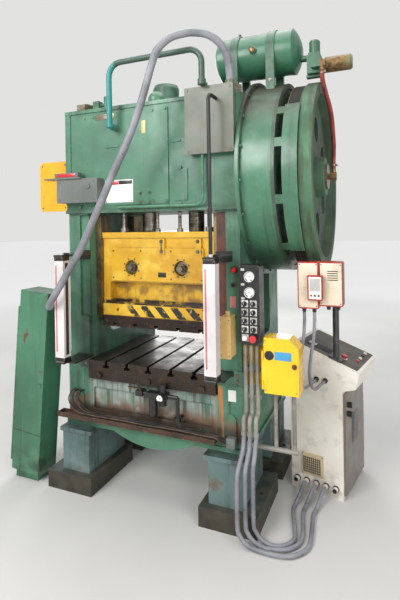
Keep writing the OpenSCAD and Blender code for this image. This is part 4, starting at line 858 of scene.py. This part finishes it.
FRONT = (0, -1, 0)
TALL = Matrix.Translation(TALL_AT) @ Matrix.Rotation(TALL_LEAN, 4, "Y")
CONSOLE = Matrix.Translation((*CONSOLE_AT, 0)) @ Matrix.Rotation(-CONSOLE_TURN, 4, "Z")
# The cable glands under the two boxes on the post: the first two hold the conduits.
MONITOR_GLANDS = ((0.90, -0.275, 1.185), (0.955, -0.275, 1.185), (1.03, -0.26, 1.2), (1.08, -0.26, 1.2))
GLAND_LONG = 0.024


def front(node_name, x, z, start=-2.0):
    """Depth of a node's first face seen from the front at x, z."""
    hit, where, normal, index = nodes[node_name].ray_cast((x, start, z), (0, 1, 0))
    return where.y if hit else None


def facing(x, y, z):
    """A frame on a front face: its z comes out of the face."""
    return place((x, y, z), FRONT)


def on_desk(x, y):
    """A frame on the sloping desk, z away from it."""
    height = DESK_LOW_EDGE[1] + (DESK_LOW_EDGE[0] - x) * math.tan(DESK_SLOPE)
    return CONSOLE @ Matrix.Translation((x, y, height)) @ Matrix.Rotation(DESK_SLOPE, 4, "Y")


def plate(piece, on, x, z, look, thick=0.0016, round=0.0006, sink=0.0004):
    """A bare plate over two ranges, on a node's front face or at a depth. Returns its own front."""
    y = front(on, sum(x) / 2, sum(z) / 2) if isinstance(on, str) else on
    piece.block((x[0], y - thick, z[0]), (x[1], y + sink, z[1]), look, round)
    return y - thick


def heads(head, on, xs, zs, radius, look="machined", start=-2.0):
    """One head, such as piece.pan, at each x and z, on a node's front face or at a depth."""
    for x in xs:
        for z in zs:
            y = front(on, x, z, start) if isinstance(on, str) else on
            head(facing(x, y, z), radius, look)


def gland(piece, spot, radius, nut):
    """A cable gland: a hexagon nut and a slimmer collar."""
    piece.turned([(radius, -0.0005), (radius, nut), (radius - 0.0045, nut + 0.002),
                  (radius - 0.0045, GLAND_LONG - 0.002), (radius - 0.0065, GLAND_LONG)], "knob", spot, 6)


def dial(piece, spot, radius, sweep, needle):
    """A dial's bezel, marks, needle and dark lower part. The angles are in degrees."""
    piece.turned([(radius, -0.0005), (radius * 1.08, 0.001), (radius * 1.02, 0.0035),
                  (radius * 0.93, 0.0032), (radius * 0.9, 0.0002)], "black", spot, 36, False)
    marks = 11
    for k in range(marks):
        a = math.radians(90 + sweep / 2 - sweep * k / (marks - 1))
        inner = radius * (0.78 if k % 5 else 0.68)
        piece.block((inner, -radius * 0.018, -0.0003), (radius * 0.88, radius * 0.018, 0.0005), "black", 0,
                    spot @ Matrix.Rotation(a, 4, "Z"))
    turn = spot @ Matrix.Rotation(math.radians(90 + needle), 4, "Z")
    piece.block((-radius * 0.2, -radius * 0.025, 0.0006), (radius * 0.7, radius * 0.025, 0.0012), "knob", 0,
                turn)
    piece.turned([(radius * 0.1, -0.0003), (radius * 0.1, 0.002), (radius * 0.07, 0.0024)], "knob", spot, 18)
    notch = [(radius * 0.9 * math.cos(math.radians(a)), radius * 0.9 * math.sin(math.radians(a)))
             for a in range(222, 319, 12)]
    piece.sheet_cut(notch, 0.0007, "black", spot)


def crown_trim():
    """Bare plates, bolts and the two cast ledges on the crown's front."""
    piece = Piece("crown_plates")
    low_row, high_row = 1.795, 2.335
    y = plate(piece, "crown", (-0.278, -0.079), (low_row, 1.933), "white")
    for x, look in (((-0.274, -0.182), "red"), ((-0.180, -0.083), "black")):
        plate(piece, y, x, (1.905, 1.929), look, 0.0008, 0.0002)
    heads(piece.pan, y, (-0.270, -0.087), (1.802, 1.897), 0.0035)
    y = plate(piece, "crown", (-0.345, -0.205), (2.312, 2.346), "machined")
    heads(piece.pan, y, (-0.339, -0.211), (2.329,), 0.003)
    plate(piece, "crown", (-0.014, 0.012), (2.204, 2.279), "cream")
    boss = 0.005
    for x in (-0.03, 0.032):
        for z in (low_row, 1.85):
            y = front("crown", x, z)
            piece.turned([(0.0125, -0.001), (0.0125, 0.004), (0.0115, boss)], "crown", facing(x, y, z), 20)
            piece.screw(facing(x, y - boss, z), 0.0065, "machined")
    heads(piece.screw, "crown", (-0.428, -0.36, 0.06, 0.146), (low_row, high_row), 0.0085, "crown")
    for x in (-0.21, 0.21):
        y = front("crown", x, 2.14)
        plate(piece, y, (x - 0.055, x + 0.03), (2.133, 2.147), "crown", 0.004, 0.0015, 0.001)
    piece.done()


def upright_trim():
    """Buttons and plates on the right upright, and the bolts at the foot of both."""
    piece = Piece("upright_controls")
    y = front("upright_right", 0.545, 1.4)
    spot = facing(0.547, y, 1.398)
    piece.turned([(0.02, -0.001), (0.02, 0.006), (0.017, 0.009)], "black", spot, 24)
    piece.turned([(0.015, 0.009), (0.0145, 0.02), (0.010, 0.026)], "red", spot, 24)
    for z in (1.314, 1.136):
        spot = facing(0.54, y, z)
        piece.turned([(0.015, -0.001), (0.015, 0.004), (0.013, 0.005)], "black", spot, 24)
        piece.turned([(0.011, 0.005), (0.0105, 0.012), (0.008, 0.014)], "knob", spot, 24)
    y = plate(piece, y, (0.519, 0.552), (1.188, 1.25), "pink", 0.0016, 0.0005)
    heads(piece.pan, y, (0.5355,), (1.194, 1.244), 0.0028)
    plate(piece, "bed", (0.499, 0.545), (0.664, 0.727), "white", 0.001, 0.0003)
    for node_name, xs in (("upright_left", (-0.56, -0.46)), ("upright_right", (0.46, 0.56))):
        heads(piece.screw, node_name, xs, (0.78, 0.812), 0.0085, start=-0.46)
    piece.done()


def slide_trim():
    """Plate and bolts on the slide's front, a ring of screws at each adjuster, and the plate's bolts."""
    piece = Piece("slide_details", "slide")
    y = plate(piece, "slide", (0.017, 0.072), (1.33, 1.36), "black")
    heads(piece.pan, y, (0.022, 0.067), (1.345,), 0.0028)
    heads(piece.screw, "slide", (0.044, 0.288), (1.49, 1.552), 0.009)
    heads(piece.pan, "slide", (-0.31, -0.105, 0.105, 0.31), (1.32, 1.492), 0.006)
    plate(piece, "slide", (0.041, 0.047), (1.5, 1.544), "machined", 0.006, 0.001, 0.001)
    ring, count = 0.056, 8
    for node_name in ("adjuster_left", "adjuster_right"):
        x0, _, z0 = middle(node_name)
        for k in range(count):
            a = 2 * math.pi * (k + 0.5) / count
            heads(piece.screw, "slide", (x0 + ring * math.cos(a),), (z0 + ring * math.sin(a),), 0.0042)
    piece.done()
    piece = Piece("slide_plate_bolts", "slide")
    level = middle("slide_plate")[2]
    heads(piece.screw, "slide_plate", (-0.36, -0.26, -0.09, 0.09, 0.26, 0.36), (level,), 0.0085, "plate")
    piece.done()


def curtain_trim():
    """Coloured strips, black end caps and dark windows of the two light curtains."""
    piece = Piece("curtain_trim")
    face, back = edges("curtains")[0][1], edges("curtains")[1][1]
    proud = 0.0005
    for x in (-0.492, 0.480):
        plate(piece, face, (x - 0.025, x - 0.015), (0.9, 1.42), "pink", 0.0008, 0.0004, 0.0005)
        for low, high in ((0.8405, 0.866), (1.446, 1.4715)):
            piece.block((x - 0.0345, face - proud, low), (x + 0.0345, back + proud, high), "black", 0.002)
        window = x - math.copysign(0.034, x)
        piece.block((window - 0.0008, -0.628, 0.88), (window + 0.0008, -0.602, 1.434), "mesh", 0.0003)
        heads(piece.pan, face - proud, (x - 0.026, x + 0.026), (0.853, 1.459), 0.0032)
    piece.done()


def panel_trim():
    """Legend frames, screws, gauge dials and the selectors' pointers."""
    piece = Piece("panel_legends")
    face = edges("panel")[0][1]
    wide, hole = 0.0185, 0.0095
    for k, node_name in enumerate(SELECTORS + ["white_button"]):
        x, _, z = middle(node_name)
        look = "white" if k % 3 == 0 else "legend"
        for x0, x1, z0, z1 in ((-wide, wide, hole, wide), (-wide, wide, -wide, -hole),
                               (-wide, -hole, -hole, hole), (hole, wide, -hole, hole)):
            plate(piece, face, (x + x0, x + x1), (z + z0, z + z1), look, 0.001, 0, 0.0003)
    heads(piece.pan, "panel", (0.589, 0.693), (1.008, 1.422), 0.0036)
    for z in (1.25, 1.325, 1.405):
        plate(piece, "panel", (0.596, 0.616), (z - 0.006, z + 0.006), "legend", 0.001, 0.0002, 0.0003)
    piece.done()

    piece = Piece("gauge_faces")
    x = middle("panel_gauges")[0]
    for z in (1.368, 1.283):
        dial(piece, facing(x, front("panel_gauges", x, z), z), 0.0255, 225, 70)
    piece.done()

    for k, node_name in enumerate(SELECTORS, 1):
        x, _, z = middle(node_name)
        piece = Piece(f"selector_pointer_{k}", node_name)
        y = front(node_name, x, z + 0.006)
        plate(piece, y, (x - 0.0012, x + 0.0012), (z - 0.001, z + 0.0105), "white", 0.0007, 0.0002, 0.0006)
        piece.done()


def operator_trim():
    """Badge, blue plate, screws and hinge leaves on the operator box's door."""
    door = "operator_door"
    piece = Piece("operator_badge", door)
    y = front(door, 0.75, 0.959)
    piece.turned([(0.025, -0.0004), (0.025, 0.001), (0.024, 0.0014)], "knob", facing(0.751, y, 0.959), 36)
    plate(piece, door, (0.779, 0.868), (0.938, 0.982), "blue", 0.0012, 0.0004)
    heads(piece.pan, door, (0.73,), (0.775, 1.035), 0.0036)
    heads(piece.pan, door, (0.893,), (0.775,), 0.0036)
    for z in (0.80, 0.98):
        plate(piece, edges(door)[0][1], (0.7215, 0.737), (z, z + 0.04), "operator", 0.0015, 0.0006, 0.001)
    piece.done()


def box_trim():
    """Screws of the boxes on the press, the red field of the grey box, and the air filter's dial."""
    piece = Piece("box_screws")
    for node_name, xs, zs, radius in (
            ("yellow_box", (-0.858, -0.666), (1.781, 2.069), 0.006),
            ("grey_panel", (0.312, 0.436, 0.56), (2.056, 2.404), 0.0045),
            ("grey_box", (-0.575, -0.317), (1.82, 1.93), 0.0045),
            ("cream_box", (0.497, 0.543), (0.945, 1.137), 0.0035)):
        heads(piece.pan, node_name, xs, zs, radius)
    plate(piece, "grey_box", (-0.60, -0.46), (1.964, 1.984), "red", 0.0015)
    piece.done()

    piece = Piece("filter_dial")
    x, z, radius, glass = 0.11, 0.655, 0.0225, 0.0006
    y = front("air_filter", x, z)
    piece.turned([(radius, -glass), (radius, glass)], "gauge", facing(x, y, z), 32)
    dial(piece, facing(x, y - glass, z), radius, 250, -60)
    piece.done()


def tall_trim():
    """The seam, screws and lock of the tall cabinet's door."""
    piece = Piece("tall_door_seams", "tall_door")
    face = -0.0044
    piece.block((0.002, -0.0052, 0.266), (0.223, -0.0043, 0.269), "black", 0, TALL)
    for z in (0.018, 0.25, 0.285, 1.172):
        for x in (0.014, 0.211):
            piece.pan(TALL @ facing(x, face, z), 0.0042, "machined")
    piece.turned([(0.0135, 0.0), (0.0135, 0.0012), (0.012, 0.0016)], "machined",
                 TALL @ facing(0.201, face, 0.68), 24)
    piece.done()


def console_fittings():
    """The fan filter's mesh and screws, and a row of glands with the outer two blanked."""
    piece = Piece("console_fittings")
    for k in range(9):
        x = 0.0875 + 0.0125 * k
        piece.block((x - 0.0028, -0.0175, 0.121), (x + 0.0028, -0.0158, 0.219), "mesh", 0.0004, CONSOLE)
    for k in range(7):
        z = 0.128 + 0.014 * k
        piece.block((0.084, -0.0168, z - 0.0018), (0.191, -0.0157, z + 0.0018), "mesh", 0.0003, CONSOLE)
    for x in (0.076, 0.199):
        for z in (0.111, 0.229):
            piece.pan(CONSOLE @ facing(x, -0.01, z), 0.0034, "machined")
    glands, level = (0.04, 0.10, 0.16, 0.22, 0.28), 0.064
    for x in glands:
        piece.turned([(0.021, -0.0005), (0.021, 0.008), (0.0195, 0.0095)], "knob",
                     CONSOLE @ facing(x, 0.0, level), 6)
    for x in (glands[0], glands[-1]):
        piece.turned([(0.0135, -0.001), (0.0135, 0.0015), (0.009, 0.003)], "knob",
                     CONSOLE @ facing(x, -0.03, level), 20)
    piece.done()


def console_window():
    """The window and the corner screws of the console's door."""
    piece = Piece("console_window", "console_door")
    piece.block((0.3385, 0.135, 0.29), (0.3402, 0.265, 0.475), "machined", 0.0005, CONSOLE)
    piece.block((0.339, 0.143, 0.298), (0.3408, 0.257, 0.467), "knob", 0.0004, CONSOLE)
    for y in (0.028, 0.39):
        for z in (0.045, 0.615):
            piece.pan(CONSOLE @ place((0.3399, y, z), (1, 0, 0), (0, 1, 0)), 0.004, "machined")
    piece.done()


def desk_items():
    """The switch's ring, a black plate with a legend, and four lamps on the desk."""
    piece = Piece("desk_items")
    ring, hole, thin = 0.024, 0.0185, 0.0012
    piece.turned([(hole, 0.0), (ring, 0.0), (ring, thin), (hole, thin)], "white", on_desk(0.30, 0.12), 32)
    desk = on_desk(0.15, 0.12)
    thick = 0.0016
    piece.block((-0.085, -0.045, 0.0), (0.085, 0.045, thick), "matt", 0.0005, desk)
    piece.block((-0.07, -0.02, thick), (-0.02, 0.02, 0.0024), "legend", 0.0004, desk)
    for x in (-0.078, 0.078):
        for y in (-0.038, 0.038):
            piece.pan(desk @ Matrix.Translation((x, y, thick)), 0.003, "machined")
    desk = on_desk(0.37, 0.26)
    for k, look in enumerate(("red", "white", "knob", "white")):
        spot = desk @ Matrix.Translation((0.0, -0.09 + 0.06 * k, 0.0))
        piece.turned([(0.0145, -0.0005), (0.0145, 0.002), (0.0125, 0.003)], "machined", spot, 28)
        piece.turned([(0.0105, 0.003), (0.0105, 0.008), (0.0085, 0.01)], look, spot, 28)
    piece.done()


def monitor_trim():
    """Cream fronts, the small unit's screen and buttons, louvres, screws and glands of the two boxes."""
    piece = Piece("monitor_fronts")
    left, right, unit = -0.315, -0.300, -0.345
    cream = 0.0022
    y = plate(piece, left, (0.878, 0.979), (1.192, 1.433), "monitor_cream", cream, 0.0008, 0.0003)
    heads(piece.pan, y, (0.884, 0.973), (1.2, 1.425), 0.0036)
    y = plate(piece, right, (0.991, 1.104), (1.207, 1.433), "monitor_cream", cream, 0.0008, 0.0003)
    heads(piece.pan, y, (0.998, 1.097), (1.216, 1.424), 0.0036)
    for k in range(5):
        z = 1.39 - 0.012 * k
        plate(piece, y, (1.03, 1.085), (z - 0.0022, z + 0.0022), "mesh", 0.0006, 0)
    side = edges("monitor_boxes")[1][0]
    piece.block((side - 0.0002, -0.296, 1.206), (side + 0.0012, -0.219, 1.434), "grey_panel", 0.0004)
    y = plate(piece, unit, (0.937, 1.003), (1.243, 1.362), "white", 0.0014, 0.0006, 0.0003)
    plate(piece, y, (0.943, 0.997), (1.286, 1.354), "legend", 0.0008, 0.0003, 0.0002)
    for k, look in enumerate(("red", "knob", "knob")):
        piece.turned([(0.0055, -0.0003), (0.0055, 0.002), (0.004, 0.003)], look,
                     facing(0.95 + 0.02 * k, y, 1.262), 18)
    for at in MONITOR_GLANDS:
        gland(piece, place(at, (0, 0, -1)), 0.0155, 0.008)
    piece.done()


def box_conduits():
    """Two grey conduits from the left box on the post to the console's front."""
    glands = Piece("console_glands")
    level, bend, turn_z = 0.70, 0.11, 0.81
    fall = ((0.0, 0.0), (0.0, -0.05), (0.2, -0.14), (0.75, -0.25), (1.0, -0.33))
    for k, across in enumerate((0.17, 0.225)):
        x, y, z = MONITOR_GLANDS[k]
        top = CONSOLE.inverted() @ Vector((x, y, z - GLAND_LONG - 0.0005))
        points = [(top.x + (across - top.x) * share, top.y, top.z + down) for share, down in fall]
        for step in range(1, 6):
            a = math.radians(18 * step)
            points.append((across, top.y + bend * (1 - math.cos(a)), turn_z - bend * math.sin(a)))
        points += [(across, y, level) for y in (-0.1, -0.06, -GLAND_LONG - 0.0005)]
        line = flowing([CONSOLE @ Vector(p) for p in points], 0.005)
        piece = Piece(f"box_conduit_{k + 1}", slot="conduit_grey")
        piece.tube(line, 0.009, "conduit", 14, ribbed(line, 0.02))
        piece.done(80)
        reach(line)
        gland(glands, CONSOLE @ facing(across, 0.0, level), 0.0165, 0.009)
    glands.done()


def trough_cables():
    """Four dark cables from glands on the bed's left, along the trough, to a junction box on the right."""
    fixed = Piece("trough_junction")
    box_face, level = -0.481, 0.60
    fixed.block((0.500, box_face, 0.420), (0.550, -0.4405, 0.478), "grey_box", 0.003)
    heads(fixed.pan, box_face, (0.507, 0.543), (0.449,), 0.003)
    for k in range(4):
        start = -0.555 + 0.022 * k
        along = -0.491 + 0.011 * k
        end_y, end_z = (-0.472, -0.455)[k // 2], (0.435, 0.459)[k % 2]
        points = [(start, -0.4395, level), (start, -0.452, level), (start, -0.474, 0.591),
                  (start, along - 0.004 if k < 2 else -0.484, 0.562), (start + 0.008, along, 0.525),
                  (start + 0.035, along, 0.493), (start + 0.09, along, 0.4775)]
        for step in range(9):
            x = -0.36 + 0.09 * step
            wave = 0.003 * math.sin(9 * x + 1.7 * k)
            points.append((x, along + wave * 0.6, 0.4745 + abs(wave) + 0.0035 * (k % 2)))
        points += [(0.435, along, 0.474), (0.462, (along + end_y) / 2, (0.474 + end_z) / 2),
                   (0.484, end_y, end_z), (0.4995, end_y, end_z)]
        line = flowing(points, 0.006)
        piece = Piece(f"trough_cable_{k + 1}", slot="black_plastic")
        piece.tube(line, 0.0045, "black_hose" if k % 2 else "trough_cable", 10)
        piece.done(80)
        reach(line)
        fixed.turned([(0.0085, -0.0005), (0.0085, 0.006), (0.006, 0.0075), (0.0055, 0.009)], "knob",
                     facing(start, -0.43, level), 6)
    fixed.done()


def tank_trim():
    """A brass plug in the tank's side, the straps' bolts, and the clutch valve's cap."""
    piece = Piece("tank_fittings")
    x, z = 0.6, middle("tank")[2]
    plug = facing(x, front("tank", x, z), z)
    piece.turned([(0.02, -0.001), (0.02, 0.012), (0.017, 0.014)], "brass", plug, 6)
    near_strap = -0.15
    for x in (0.48, 0.705):
        for z in (2.43, 2.5):
            y = front("tank_straps", x, z)
            if y is not None and y < near_strap:
                piece.screw(facing(x, y, z), 0.0085, "machined")
    cap = place((0.945, -0.05, 2.73))
    piece.turned([(0.026, -0.002), (0.026, 0.008), (0.022, 0.010)], "machined", cap, 24)
    piece.done()


for make in (thick_conduit, red_hose, console_leads, crown_trim, upright_trim, slide_trim, curtain_trim,
             panel_trim, operator_trim, box_trim, tall_trim, console_fittings, console_window, desk_items,
             monitor_trim, box_conduits, trough_cables, tank_trim):
    make()


# Stage and light

def make_floor():
    """A pale floor that glows far from the press, so that it runs into the background."""
    look = Look("pale_floor")
    colour = look.mix(look.cloud(0.3, 0.7, 0.8, 3), rgb(214, 212, 208), rgb(206, 204, 200))
    away = look.ease((look.x * look.x + look.y * look.y) ** 0.5, 1.8, 9)
    glow = look.mix(away, rgb(0, 0, 0), rgb(206, 206, 204))
    half = 40
    corners = [(-half, -half, 0), (half, -half, 0), (half, half, 0), (-half, half, 0)]
    mesh = bpy.data.meshes.new("floor")
    mesh.from_pydata(corners, [], [(0, 1, 2, 3)])
    mesh.materials.append(look.done(colour, 0.85, glow=glow, shine=0.9))
    floor = bpy.data.objects.new("floor", mesh)
    scene.collection.objects.link(floor)


def make_world():
    """A pale room that the camera, metal and glass see, and a dimmer light from it on everything else."""
    world = bpy.data.worlds.new("studio")
    scene.world = world
    world.use_nodes = True
    tree = world.node_tree
    tree.nodes.clear()
    path = tree.nodes.new("ShaderNodeLightPath")
    shows = path.outputs["Is Camera Ray"]
    for ray in ("Is Glossy Ray", "Is Transmission Ray"):
        either = tree.nodes.new("ShaderNodeMath")
        either.operation = "MAXIMUM"
        tree.links.new(shows, either.inputs[0])
        tree.links.new(path.outputs[ray], either.inputs[1])
        shows = either.outputs[0]
    blend = tree.nodes.new("ShaderNodeMixShader")
    tree.links.new(shows, blend.inputs[0])
    for side, colour, strength in ((1, rgb(222, 228, 236), 0.42), (2, rgb(226, 226, 224), 1.0)):
        light = tree.nodes.new("ShaderNodeBackground")
        light.inputs["Color"].default_value = colour
        light.inputs["Strength"].default_value = strength
        tree.links.new(light.outputs[0], blend.inputs[side])
    out = tree.nodes.new("ShaderNodeOutputWorld")
    tree.links.new(blend.outputs[0], out.inputs["Surface"])


def make_lamps():
    """Four soft square lamps: their place, aim, side in metres and power in watts."""
    for name, at, aim, size, power in (
            ("key", (-1.2, -4.6, 3.9), (0.2, 0, 1.4), 2.6, 210),
            ("fill", (3.8, -3.6, 2.4), (0.5, 0, 1.2), 2.4, 95),
            ("top", (0.3, 0.2, 5.6), (0.3, 0, 0), 4.5, 170),
            ("back", (-1.6, 4.8, 3.2), (0.3, 0, 1.4), 3.0, 110)):
        light = bpy.data.lights.new(name, "AREA")
        light.size = size
        light.energy = power
        lamp = bpy.data.objects.new(name, light)
        lamp.matrix_world = place(at, Vector(at) - Vector(aim), (1, 0.3, 0))
        scene.collection.objects.link(lamp)


make_floor()
make_world()
make_lamps()
scene.view_settings.view_transform = "Standard"
